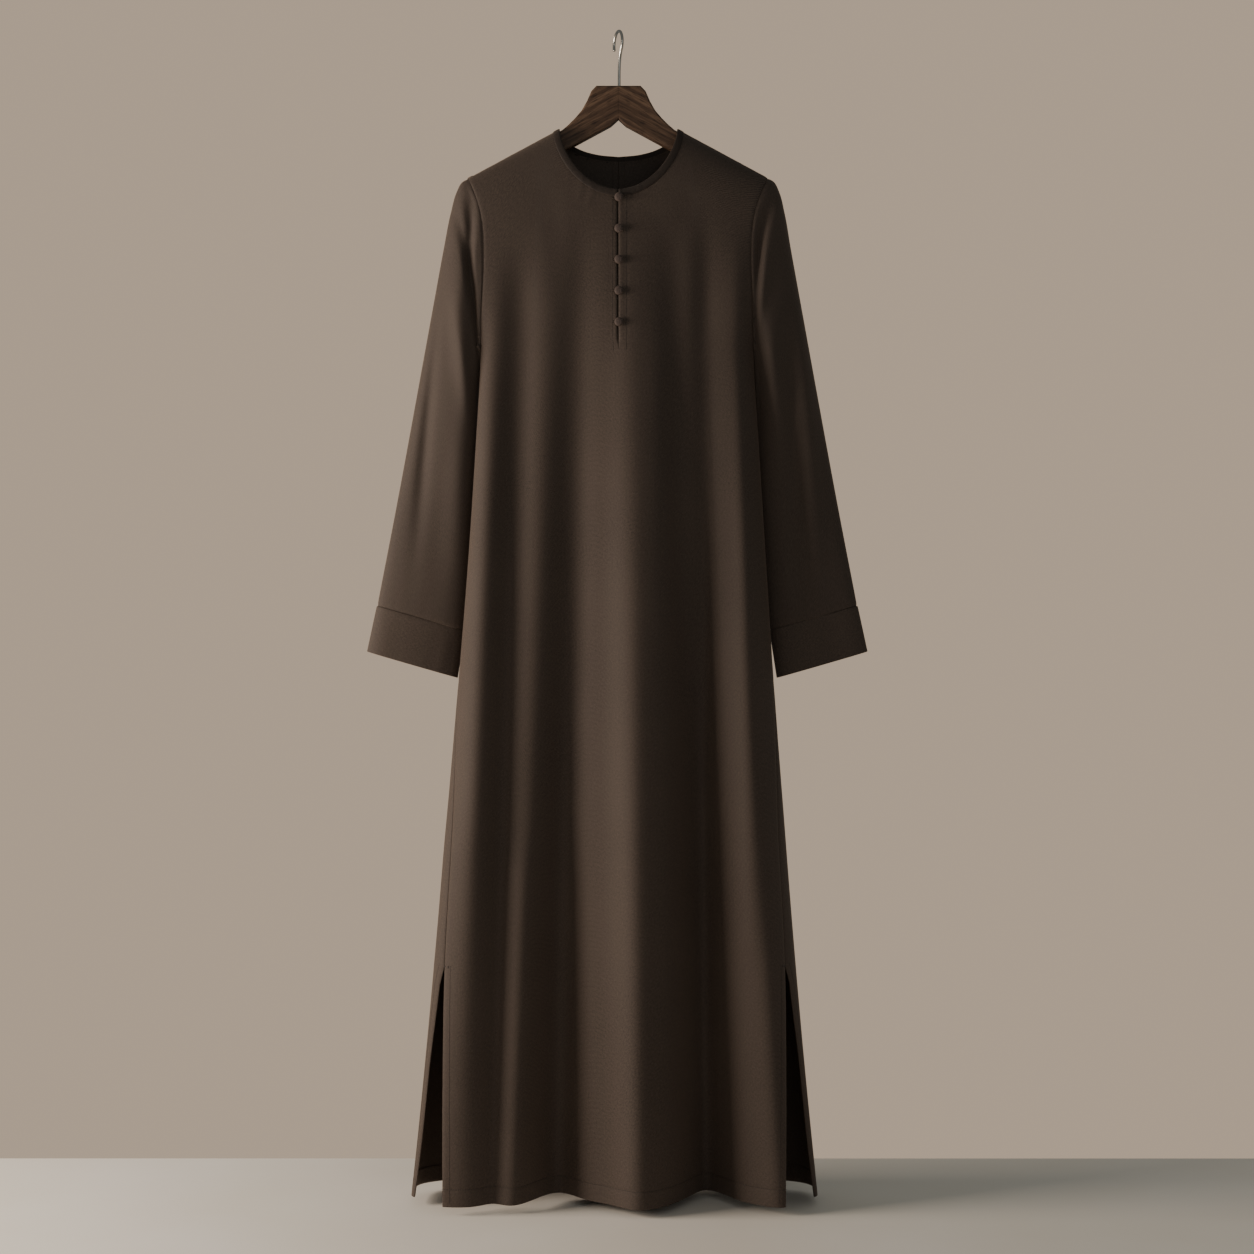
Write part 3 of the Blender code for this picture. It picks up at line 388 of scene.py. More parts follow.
@dataclass(frozen=True)
class BodyForm:
    """The form that the body's cloth hangs in, the same as that of its solids.

    Attributes:
        placket_end: Height where the centre-front slit ends.
        placket_half: Half the slit's width.
        lip_rise: How far the slit's right edge stands forward.
        binding_width: Width of the neck binding.
        gap: Half the space left open at a seam.
        fold_growth: How quickly the main folds deepen towards the hem.
        chest_spread: How far the chest's columns bow out towards the sides.
        turn_shares: Where the rows over the shoulder's turn lie, as shares of its length.
        side_turn: Share of the half width where the back starts to follow the front's edge.
        slit_opening: How far the side slits gape, as a share of the half width.
        slit_start: Height over which a slit opens.
        slit_stay: How far below its top it starts to close again, and over what height.
        side_lead: Height above the hem's slit over which the back follows the front.
        lead_start: Height below the underarm over which it starts to.
        tip_pull: How quickly the armhole's line leaves the shoulder's tip.
        neck_probe: Step along the neck's outline at which its direction is read.
        neck_late: Share of the outline from which it turns to the shoulder's direction.
        neck_early: Share over which it turns from the middle's direction.
    """

    shoulder_middle: float = -0.0902
    shoulder_slope: float = 0.536
    shoulder_tip: float = 0.2035
    armhole_top: float = -0.1993
    underarm: float = -0.4365
    slit_top: float = -1.262
    hem: float = -1.578
    shoulder_round: float = 0.10
    shoulder_square: float = 2.8
    placket_end: float = -0.436
    placket_half: float = 0.0003
    placket_fade: float = 0.03
    lip_rise: float = 0.0011
    lip_width: float = 0.006
    binding_width: float = 0.0100
    gap: float = 0.00005
    fold_growth: float = 0.9
    fold_rise: float = 0.3
    chest_spread: float = 0.14
    chest_even: float = 0.12
    under_binding: float = 0.0030
    crease_start: float = 0.10
    turn_shares: Row = (0.0, 0.05, 0.11, 0.18, 0.26, 0.35, 0.45, 0.56, 0.69, 0.84, 1.0)
    side_turn: float = 0.70
    slit_opening: float = 0.0165
    slit_start: float = 0.025
    slit_stay: tuple[float, float] = (0.08, 0.20)
    side_lead: float = 0.25
    lead_start: float = 0.02
    tip_pull: int = 8
    neck_probe: float = 0.004
    neck_late: float = 0.75
    neck_early: float = 0.08
    section_points: int = 1401

    def at(self, name: str, height: float) -> float:
        """One value of the body's table at a height."""
        return float(BODY.read(name, height))

    def shoulder(self, across: Array | float) -> Array:
        """Height of the shoulder line at a distance from the middle."""
        return self.shoulder_middle - self.shoulder_slope * np.abs(across)

    def fold_push(self, face: Face, across: Array, height: Array | float) -> Array:
        """How far the main folds move the cloth outwards."""
        push = np.zeros(np.broadcast(across, height).shape)
        length = self.underarm - self.hem
        for fold in FOLDS[face].records():
            down = np.clip((self.underarm - height) / length, -self.fold_rise, 1.0)
            line = fold["at_top"] + (fold["at_hem"] - fold["at_top"]) * down
            wide = fold["wide_top"] + (fold["wide_hem"] - fold["wide_top"]) * down
            grown = (fold["starts"] - height) / (fold["starts"] - self.hem)
            grown = np.clip(grown, 0.0, 1.0) ** self.fold_growth
            push = push + fold["depth"] * grown * np.exp(-(((across - line) / wide) ** 2))
        return push

    def crease_push(self, face: Face, across: Array, height: Array | float) -> Array:
        """How far the fine creases move the cloth outwards."""
        push = np.zeros(np.broadcast(across, height).shape)
        for crease in CREASES[face].records():
            down = (crease["top"] - height) / (crease["top"] - crease["low"])
            swell = np.sin(math.pi * np.clip(down, 0.0, 1.0))
            line = crease["at_top"] + (crease["at_low"] - crease["at_top"]) * down
            line = line + crease["bend"] * swell
            ridge = np.exp(-(((across - line) / crease["wide"]) ** 2))
            begun = smooth_step(down / self.crease_start)
            push = push + crease["depth"] * np.sqrt(swell) * begun * ridge
        return push

    def push(self, face: Face, across: Array, height: Array | float) -> Array:
        """Folds and creases together."""
        fine = self.crease_push(face, across, height)
        return self.fold_push(face, across, height) + fine

    def depth(self, face: Face, across: Array, height: Array) -> Array:
        """How far the cloth lies from the middle plane, at a place seen from the front."""
        above = ARMHOLE.read("hull", height)
        half = np.where(height > self.underarm, above, BODY.read("half", height))
        drop = (self.shoulder(across) - height) / self.shoulder_round
        turn = superellipse(1.0 - np.clip(drop, 0.0, 1.0), self.shoulder_square)
        share = (across - BODY.read("shift", height)) / half
        round_part = superellipse(share, BODY.read("square", height)) * turn
        base = BODY.read(face.value, height) * round_part
        fade = smooth_step(drop * 2.0)
        fine = self.crease_push(face, across, height) * fade
        return np.maximum(base + self.fold_push(face, across, height) + fine, self.gap)

    def lip(self, across: Array, height: Array | float) -> Array:
        """How far the right edge of the centre-front slit stands forward."""
        raised = np.where(across > 0, self.lip_rise * np.exp(-across / self.lip_width), 0.0)
        return raised * smooth_step((height - self.placket_end) / self.placket_fade)

    def place(self, face: Face, across: Array, height: Array) -> Array:
        """Points of the cloth's outside, at places seen from the front."""
        away = self.depth(face, across, height)
        if face is Face.FRONT:
            away = -away - self.lip(across, height)
        return np.stack(np.broadcast_arrays(across, away, height), axis=-1)

    def section(self, face: Face, height: float) -> Array:
        """Half of the body's section as a dense line, from left to right."""
        square = self.at("square", height)
        angle = np.linspace(math.pi, 0.0, self.section_points)
        reach = np.sign(np.cos(angle)) * np.abs(np.cos(angle)) ** (2 / square)
        across = self.at("shift", height) + self.at("half", height) * reach
        away = self.at(face.value, height) * np.abs(np.sin(angle)) ** (2 / square)
        return np.stack([across, away], axis=-1)

    def edge_across(self, height: float, side: Side, name: str) -> float:
        """Where a panel's edge lies, seen from the front."""
        below = self.slit_top - height
        share = min(self.at("seam" if below < 0 else name, height), 1.0)
        if name == "back_edge":
            stay, closing = self.slit_stay
            open_still = 1 - float(smooth_step((below - stay) / closing))
            share += self.slit_opening * min(max(below / self.slit_start, 0.0), 1.0) * open_still
        return self.at("shift", height) + side.value * self.at("half", height) * share

    def front_row(self, height: float, side: Side, shares: Array) -> Array:
        """Points of one half of the front at a height, from the middle to its edge."""
        line = self.section(Face.FRONT, height)
        edge = self.edge_across(height, side, "seam")
        middle = side.value * self.placket_half if height > self.placket_end else 0.0
        inner, outer = min(edge, middle), max(edge, middle)
        kept = line[(line[:, 0] > inner) & (line[:, 0] < outer)]
        end = line[0] if side is Side.LEFT else line[-1]
        if abs(edge) >= abs(end[0]) - SAME_POINT:
            kept = np.vstack([end, kept] if side is Side.LEFT else [kept, end])
        kept = kept[::-1] if side is Side.LEFT else kept
        start = np.array([middle, np.interp(middle, line[:, 0], line[:, 1])])
        places = walk(np.vstack([start, kept]), shares, self.gap, False)
        away = -places[:, 1] - self.push(Face.FRONT, places[:, 0], height)
        away = away - self.lip(places[:, 0], height)
        if height > self.slit_top and self.at("seam", height) >= 1.0:
            away = np.minimum(away, -self.gap)
        return np.stack([places[:, 0], away, np.full(len(places), height)], axis=-1)

    def back_row(self, height: float, side: Side, shares: Array) -> Array:
        """Points of one back half at a height, from the middle round to its edge."""
        whole, front = self.section(Face.BACK, height), self.section(Face.FRONT, height)
        edge = abs(self.edge_across(height, side, "back_edge"))
        ordered = whole[::-1] if side is Side.LEFT else whole
        back = ordered[ordered[:, 0] * side.value > self.gap]
        wrap = front[front[:, 0] * side.value > edge]
        wrap = wrap if side is Side.LEFT else wrap[::-1]
        middle = np.interp(0.0, whole[:, 0], whole[:, 1])
        start = np.array([side.value * self.gap, middle])
        line = np.vstack([start, back, wrap * np.array([1.0, -1.0])])
        places = walk(line, shares, self.gap, False)
        share = (places[:, 0] - self.at("shift", height)) / self.at("half", height)
        push = self.push(Face.BACK, places[:, 0], height) * superellipse(share, 2.0)
        closed = min(max((height - self.slit_top) / self.side_lead + 1.0, 0.0), 1.0)
        wrapped = self.push(Face.FRONT, places[:, 0], height) * closed
        on_front = places[:, 1] < 0
        end = self.at("shift", height) + side.value * self.at("half", height)
        lead = float(self.push(Face.FRONT, np.array([end]), height)[0]) * closed
        lead = lead * smooth_step((self.underarm - height) / self.lead_start)
        turned = lead * smooth_step((np.abs(share) - self.side_turn) / (1 - self.side_turn))
        away = np.where(on_front, places[:, 1] - wrapped, places[:, 1] + push - turned)
        if self.at("seam", height) >= 1.0:
            away = np.maximum(away, self.gap - lead)
        return np.stack([places[:, 0], away, np.full(len(places), height)], axis=-1)

    def neck_out(self, face: Face, shares: Array) -> Array:
        """Unit directions away from the neck opening, seen from the front."""
        ahead = walk(NECK[face], np.clip(shares + self.neck_probe, 0.0, 1.0))
        run = ahead - walk(NECK[face], np.clip(shares - self.neck_probe, 0.0, 1.0))
        out = np.stack([run[:, 1], -run[:, 0]], axis=-1)
        out /= np.linalg.norm(out, axis=1)[:, None]
        shoulder = np.array([1.0, -self.shoulder_slope])
        shoulder /= np.linalg.norm(shoulder)
        late = smooth_step((shares - self.neck_late) / (1.0 - self.neck_late))[:, None]
        away = smooth_step(shares / self.neck_early)[:, None]
        out = out * (1 - late) + shoulder * late
        out = out * away + np.array([0.0, -1.0]) * (1 - away)
        return out / np.linalg.norm(out, axis=1)[:, None]

    def chest(self, face: Face, side: Side, shares: Array, neck: Array, rows: Array) -> list:
        """Rows of a panel from its top edge to just above the underarm.

        Args:
            face: Front or back.
            side: Left or right half.
            shares: Shares across the panel of its columns at the underarm.
            neck: Shares of the neck's outline; the rest of the columns end on the shoulder.
            rows: Shares of the way down.

        Returns:
            One array of points for each row.
        """
        sign = side.value
        reach = self.binding_width - self.under_binding
        round_neck = walk(NECK[face], neck) + self.neck_out(face, neck) * reach
        tip = self.shoulder_tip + sign * self.at("shift", self.armhole_top)
        rest = (shares[len(neck):] - shares[len(neck) - 1]) / (1 - shares[len(neck) - 1])
        across = round_neck[-1, 0] + (tip - round_neck[-1, 0]) * rest
        line = np.stack([across, self.shoulder(across)], axis=-1)
        top = np.vstack([round_neck, line]) * np.array([sign, 1.0])
        row_of = self.front_row if face is Face.FRONT else self.back_row
        bottom = row_of(self.underarm, side, shares)[:, [0, 2]]
        top[0, 0] = sign * (self.placket_half if face is Face.FRONT else self.gap)
        u = shares[:, None]
        top_bow, low_bow = (end - (1 - u) * end[0] - u * end[-1] for end in (top, bottom))
        (middle_across, middle_top), (tip_across, tip_top) = top[0], top[-1]
        made = []
        for v in rows:
            drop = tip_top + (self.underarm - tip_top) * v
            seam = self.armhole_across(drop, sign)
            seam += (tip_across - self.armhole_across(tip_top, sign)) * (1 - v) ** self.tip_pull
            middle = np.array([middle_across, middle_top + (self.underarm - middle_top) * v])
            sides = (1 - u) * middle + u * np.array([seam, drop])
            flat = (1 - v) * top_bow + v * low_bow + sides
            spread = self.chest_spread * v * (1 - v) ** 2
            flat[:, 0] += sign * spread * np.sin(math.pi * shares) ** 2
            own = distances(flat)
            even = smooth_step(v / self.chest_even)
            flat = walk(flat, own / own[-1] * (1 - even) + shares * even, 0.0, False)
            made.append(self.place(face, flat[:, 0], flat[:, 1]))
        first = np.array(made[: len(self.turn_shares)])
        for column in range(first.shape[1]):
            first[:, column] = walk(first[:, column], self.turn_shares, 0.0, False)
        return [*first, *made[len(first) :]]

    def armhole_across(self, height: float, sign: int) -> float:
        """Where the armhole's seam lies at a height, seen from the front."""
        return sign * float(ARMHOLE.read("seam", height)) + self.at("shift", height)


def even_with_edges(count: int, start: Row, end: Row) -> Array:
    """Even shares from 0 to 1, with closer ones near one or both ends.

    Args:
        count: How many even steps.
        start: Further shares near 0.
        end: Further distances from 1.

    Returns:
        The shares, rising.
    """
    even, clear = np.linspace(0.0, 1.0, count + 1), 1.3
    low, high = (clear * max(further, default=0.0) for further in (start, end))
    even = even[((even > low) & (even < 1.0 - high)) | np.isin(even, (0.0, 1.0))]
    return np.unique(np.concatenate((even, start, 1.0 - np.array(end))))


def made_mesh(name: str, grids: list[Grid]) -> bpy.types.Mesh:
    """Joins grids into one open surface, with a UV map in metres along the cloth.

    Args:
        name: The mesh's name.
        grids: The grids; points that coincide are joined.

    Returns:
        The mesh.
    """
    corners, faces, charts, base = [], [], [], 0
    for grid in grids:
        rows, columns = grid.points.shape[:2]
        index = base + np.arange(rows * columns).reshape(rows, columns)
        across, down = grid.lengths(1), grid.lengths(0)
        across = across - across[:, columns // 2, None] if grid.closed else across
        if grid.closed:
            seam = np.linalg.norm(grid.points[:, 0] - grid.points[:, -1], axis=1)
            across = np.hstack((across, across[:, -1:] + seam[:, None]))
            down = np.hstack((down, down[:, :1]))
            index = np.hstack((index, index[:, :1]))
        quad = [index[:-1, :-1], index[1:, :-1], index[1:, 1:], index[:-1, 1:]]
        chart = np.stack([across, -down], axis=-1)
        if grid.turned:
            chart[..., 0] *= -1
        tiles = [chart[:-1, :-1], chart[1:, :-1], chart[1:, 1:], chart[:-1, 1:]]
        quad = np.stack(quad, axis=-1).reshape(-1, 4)
        tiles = np.stack(tiles, axis=2).reshape(-1, 4, 2)
        if grid.turned:
            quad, tiles = quad[:, ::-1], tiles[:, ::-1]
        corners.append(grid.points.reshape(-1, 3))
        faces.append(quad)
        charts.append(tiles)
        base += rows * columns
    mesh = bpy.data.meshes.new(name)
    mesh.from_pydata(np.concatenate(corners).tolist(), [], np.concatenate(faces).tolist())
    layer = mesh.uv_layers.new(name="Cut")
    layer.uv.foreach_set("vector", np.concatenate(charts).astype(np.float32).ravel())
    if len(grids) > 1:
        shape = bmesh.new()
        shape.from_mesh(mesh)
        bmesh.ops.remove_doubles(shape, verts=shape.verts, dist=SAME_POINT)
        shape.to_mesh(mesh)
        shape.free()
    mesh.shade_smooth()
    return mesh


def linked(name: str, data: Any) -> bpy.types.Object:
    """Adds an object with the data to the scene, at the origin."""
    made = bpy.data.objects.new(name, data)
    bpy.context.scene.collection.objects.link(made)
    return made


def put(name: str, mesh: bpy.types.Mesh, material: bpy.types.Material) -> bpy.types.Object:
    """Adds a mesh to the scene as an object in one material."""
    made = linked(name, mesh)
    made.data.materials.clear()
    made.data.materials.append(material)
    return made


def walled(made: bpy.types.Object, thickness: float) -> bpy.types.Object:
    """Gives an open cloth surface its thickness, towards the inside."""
    wall = made.modifiers.new("Cloth thickness", "SOLIDIFY")
    wall.thickness = thickness
    wall.offset = -1.0
    wall.use_even_offset = False
    wall.use_rim = True
    return made


def baked(made: bpy.types.Object) -> bpy.types.Object:
    """Turns an object's modifiers or curve into a plain mesh of its own."""
    graph = bpy.context.evaluated_depsgraph_get()
    mesh = bpy.data.meshes.new_from_object(made.evaluated_get(graph))
    name, old = made.name, made.data
    bpy.data.objects.remove(made)
    if old.users == 0 and isinstance(old, bpy.types.Mesh):
        bpy.data.meshes.remove(old)
    mesh.name = name
    return linked(name, mesh)


def report(made: bpy.types.Object, slot: str, *nodes: str) -> bpy.types.Object:
    """Lets a piece ride with the part and hides the solids it stands for.

    Args:
        made: The piece.
        slot: Not used.
        nodes: The solids that it replaces.

    Returns:
        The piece.
    """
    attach(made, "root")
    if nodes:
        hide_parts(*nodes)
    LOG.info("%s: %d faces", made.name, len(made.data.polygons))
    return made


def linear(code: str) -> tuple[float, float, float, float]:
    """A linear colour from an sRGB hex code."""
    parts = [int(code[k : k + 2], 16) / 255 for k in (1, 3, 5)]
    red, green, blue = (
        part / 12.92 if part <= 0.04045 else ((part + 0.055) / 1.055) ** 2.4 for part in parts
    )
    return red, green, blue, 1.0


def feed(tree: Any, node: Any, inputs: dict[Any, Any]) -> None:
    """Sets a node's inputs.

    Args:
        tree: The node's tree.
        node: The node.
        inputs: For each input, by name or number, a value, a socket that is linked to it,
            or a node whose first output is linked to it.
    """
    for key, value in inputs.items():
        value = value.outputs[0] if isinstance(value, bpy.types.Node) else value
        if isinstance(value, bpy.types.NodeSocket):
            tree.links.new(value, node.inputs[key])
        else:
            node.inputs[key].default_value = value


def add(tree: Any, kind: str, inputs: dict[Any, Any] | None = None, **settings: Any) -> Any:
    """Adds a node to a tree.

    Args:
        tree: A shader or geometry tree.
        kind: The node's type.
        inputs: Its inputs, as feed takes them.
        settings: The node's own settings.

    Returns:
        The node.
    """
    node = tree.nodes.new(kind)
    for key, value in settings.items():
        setattr(node, key, value)
    feed(tree, node, inputs or {})
    return node


def ramp_stops(node: Any, stops: tuple[tuple[float, str], ...]) -> None:
    """Sets a colour ramp's stops from places and hex codes."""
    ramp = node.color_ramp
    while len(ramp.elements) < len(stops):
        ramp.elements.new(1.0)
    for element, (place, code) in zip(ramp.elements, stops, strict=True):
        element.position = place
        element.color = linear(code)


def new_material(name: str) -> tuple[bpy.types.Material, Any, Any, Any]:
    """A material, its tree, its Principled shader, and the place on the object."""
    made = bpy.data.materials.new(name)
    made.use_nodes = True
    tree = made.node_tree
    place = add(tree, "ShaderNodeTexCoord").outputs["Object"]
    return made, tree, tree.nodes["Principled BSDF"], place


@dataclass(frozen=True)
class CrepeFinish:
    """Woven polyester crepe of a dark warm brown, with a dry hand and a low sheen.

    The yarns are highly twisted, which makes the surface pebbled and matt, with a faint
    twill line. Real yarns stand 0.45 mm apart; the pattern is drawn 1.5 mm apart so
    that it shows.

    Attributes:
        name: The material's name.
        low: The colour of the weave's hollows: the yarns' own tone, darkened as painted shade.
        high: The colour of its crests.
        pebble: Size of the crepe's pebbles, in metres.
        twill: Distance between the drawn twill lines, in metres.
        slant: The twill lines' angle.
        dye_share: How much the unevenness of the dye shifts the colour.
        relief: Height of the pattern, in metres.
        on_surface: Whether it follows the cut's UV map.
    """

    name: str = "Polyester crepe, woven"
    low: str = "#2A221E"
    high: str = "#52463E"
    pebble: float = 0.0026
    twill: float = 0.0015
    slant: float = math.radians(63)
    dye_share: float = 0.5
    relief: float = 0.00036
    on_surface: bool = True

    def material(self) -> bpy.types.Material:
        """Builds the material."""
        made, tree, shader, place = new_material(self.name)
        source = add(tree, "ShaderNodeUVMap", uv_map="Cut") if self.on_surface else place
        noise = {"Vector": source, "Scale": 1 / self.pebble, "Detail": 2.0, "Roughness": 0.6}
        pebbles = add(tree, "ShaderNodeTexNoise", noise)
        turned = {"Vector": source, "Rotation": (0.0, 0.0, self.slant)}
        slanted = add(tree, "ShaderNodeMapping", turned)
        wave = {"Vector": slanted, "Scale": 1 / (self.twill * math.pi), "Distortion": 1.6}
        twill = add(tree, "ShaderNodeTexWave", wave | {"Detail": 1.0, "Detail Scale": 1.5})
        both = {"Factor": 0.32, 2: pebbles, 3: twill.outputs["Fac"]}
        weave = add(tree, "ShaderNodeMix", both)
        dye = add(tree, "ShaderNodeTexNoise", {"Vector": place, "Scale": 7.0, "Detail": 3.0})
        # The weave's pattern sets the relief and also darkens the colour in its hollows: painted shade.
        contrast = {"Value": weave, "From Min": 0.39, "From Max": 0.63}
        shade = add(tree, "ShaderNodeMapRange", contrast)
        shifted = {0: dye, 1: self.dye_share, 2: shade}
        toned = add(tree, "ShaderNodeMath", shifted, operation="MULTIPLY_ADD")
        colour = add(tree, "ShaderNodeValToRGB", {"Fac": toned})
        ramp_stops(colour, ((0.0, self.low), (1.0, self.high)))
        rough = add(tree, "ShaderNodeMapRange", {"Value": weave, "To Min": 0.62, "To Max": 0.84})
        raised = {"Height": weave, "Strength": 0.8, "Distance": self.relief}
        dry = {"Base Color": colour, "Roughness": rough, "Normal": add(tree, "ShaderNodeBump", raised)}
        feed(tree, shader, dry | {"IOR": 1.50, "Specular IOR Level": 0.28})
        sheen = {"Sheen Weight": 0.30, "Sheen Roughness": 0.45, "Sheen Tint": linear("#C9AE98")}
        feed(tree, shader, sheen)
        return made


@dataclass(frozen=True)
class ThreadFinish:
    """Spun polyester sewing thread, dyed to the cloth and a little glossier than it."""

    name: str = "Polyester thread, spun"
    low: str = "#211913"
    high: str = "#2C221C"
    twist: float = 1800.0

    def material(self) -> bpy.types.Material:
        """Builds the material."""
        made, tree, shader, place = new_material(self.name)
        noise = {"Vector": place, "Scale": self.twist, "Detail": 1.0}
        colour = add(tree, "ShaderNodeValToRGB", {"Fac": add(tree, "ShaderNodeTexNoise", noise)})
        ramp_stops(colour, ((0.3, self.low), (0.75, self.high)))
        feed(tree, shader, {"Base Color": colour, "Roughness": 0.55, "IOR": 1.52})
        return made


@dataclass(frozen=True)
class WalnutFinish:
    """American walnut, planed and stained dark, under a thin satin lacquer.

    The halves are book-matched at the middle joint, so the grain runs down along each
    arm and meets in a chevron. Pores are short dark dashes, 0.3 mm wide in the real
    wood and drawn 0.8 mm wide so that they show.

    Attributes:
        name: The material's name.
        slope: How steeply the arms, and so the grain, fall from the middle.
        figure: Width of the grain's bands, in metres.
        pore: Width of the drawn pores, in metres.
        run: Share by which the pattern is drawn out along the grain.
        depth: How much the pores darken the wood.
        stain: The stained wood's colours, from its darkest bands to its palest.
    """

    name: str = "Walnut, stained and lacquered"
    slope: float = 0.536
    figure: float = 0.0065
    pore: float = 0.0008
    run: float = 0.05
    depth: float = -0.30
    stain: tuple[tuple[float, str], ...] = (
        (0.22, "#2C1E15"),
        (0.42, "#493527"),
        (0.52, "#5A4333"),
        (0.66, "#735A46"),
    )

    def material(self) -> bpy.types.Material:
        """Builds the material."""
        made, tree, shader, place = new_material(self.name)
        parts = add(tree, "ShaderNodeSeparateXYZ", {"Vector": place})
        across = add(tree, "ShaderNodeMath", {0: parts}, operation="ABSOLUTE")
        halves = {"X": across, "Y": parts.outputs["Y"], "Z": parts.outputs["Z"]}
        matched = add(tree, "ShaderNodeCombineXYZ", halves)
        tilt = {"Vector": matched, "Rotation": (0.0, -math.atan(self.slope), 0.0)}
        along = add(tree, "ShaderNodeMapping", tilt)
        drawn = {"Vector": along, "Scale": (self.run, 1.0, 1.0)}
        grain = add(tree, "ShaderNodeMapping", drawn)
        bands = {"Vector": grain, "Scale": 1 / self.figure, "Detail": 4.0, "Roughness": 0.62}
        figure = add(tree, "ShaderNodeTexNoise", bands | {"Distortion": 0.5})
        dashes = {"Vector": grain, "Scale": 1 / self.pore, "Detail": 1.0}
        pores = add(tree, "ShaderNodeTexNoise", dashes)
        pits = add(tree, "ShaderNodeMapRange", {"Value": pores, "From Min": 0.56, "From Max": 0.68})
        pitted = {0: pits, 1: self.depth, 2: figure}
        mixed = add(tree, "ShaderNodeMath", pitted, operation="MULTIPLY_ADD")
        colour = add(tree, "ShaderNodeValToRGB", {"Fac": mixed})
        ramp_stops(colour, self.stain)
        rough = add(tree, "ShaderNodeMapRange", {"Value": figure, "To Min": 0.48, "To Max": 0.62})
        raised = {"Height": mixed, "Strength": 0.35, "Distance": 0.0003}
        wood = {"Base Color": colour, "Roughness": rough, "Normal": add(tree, "ShaderNodeBump", raised)}
        feed(tree, shader, wood | {"IOR": 1.48, "Specular IOR Level": 0.35})
        feed(tree, shader, {"Coat Weight": 0.06, "Coat Roughness": 0.40})
        return made


@dataclass(frozen=True)
class SteelFinish:
    """Drawn steel wire, nickel plated and polished, with faint drawing lines."""

    name: str = "Steel wire, nickel plated"
    low: str = "#A9A49C"
    high: str = "#C9C5BE"
    line: float = 0.0004

    def material(self) -> bpy.types.Material:
        """Builds the material."""
        made, tree, shader, place = new_material(self.name)
        noise = {"Vector": place, "Scale": 1 / self.line, "Detail": 2.0}
        lines = add(tree, "ShaderNodeTexNoise", noise)
        rough = add(tree, "ShaderNodeMapRange", {"Value": lines, "To Min": 0.16, "To Max": 0.30})
        colour = add(tree, "ShaderNodeValToRGB", {"Fac": lines})
        ramp_stops(colour, ((0.2, self.low), (0.8, self.high)))
        feed(tree, shader, {"Base Color": colour, "Roughness": rough, "Metallic": 1.0})
        return made


@dataclass(frozen=True)
class StudioFinish:
    """Pale trowelled floor of the studio, nearly plain."""

    name: str = "Studio floor, plaster"
    low: str = "#F2E7D8"
    high: str = "#FAF2E7"

    def material(self) -> bpy.types.Material:
        """Builds the material."""
        made, tree, shader, place = new_material(self.name)
        cloud = add(tree, "ShaderNodeTexNoise", {"Vector": place, "Scale": 2.2, "Detail": 6.0})
        colour = add(tree, "ShaderNodeValToRGB", {"Fac": cloud})
        ramp_stops(colour, ((0.3, self.low), (0.7, self.high)))
        feed(tree, shader, {"Base Color": colour, "Roughness": 0.8})
        return made


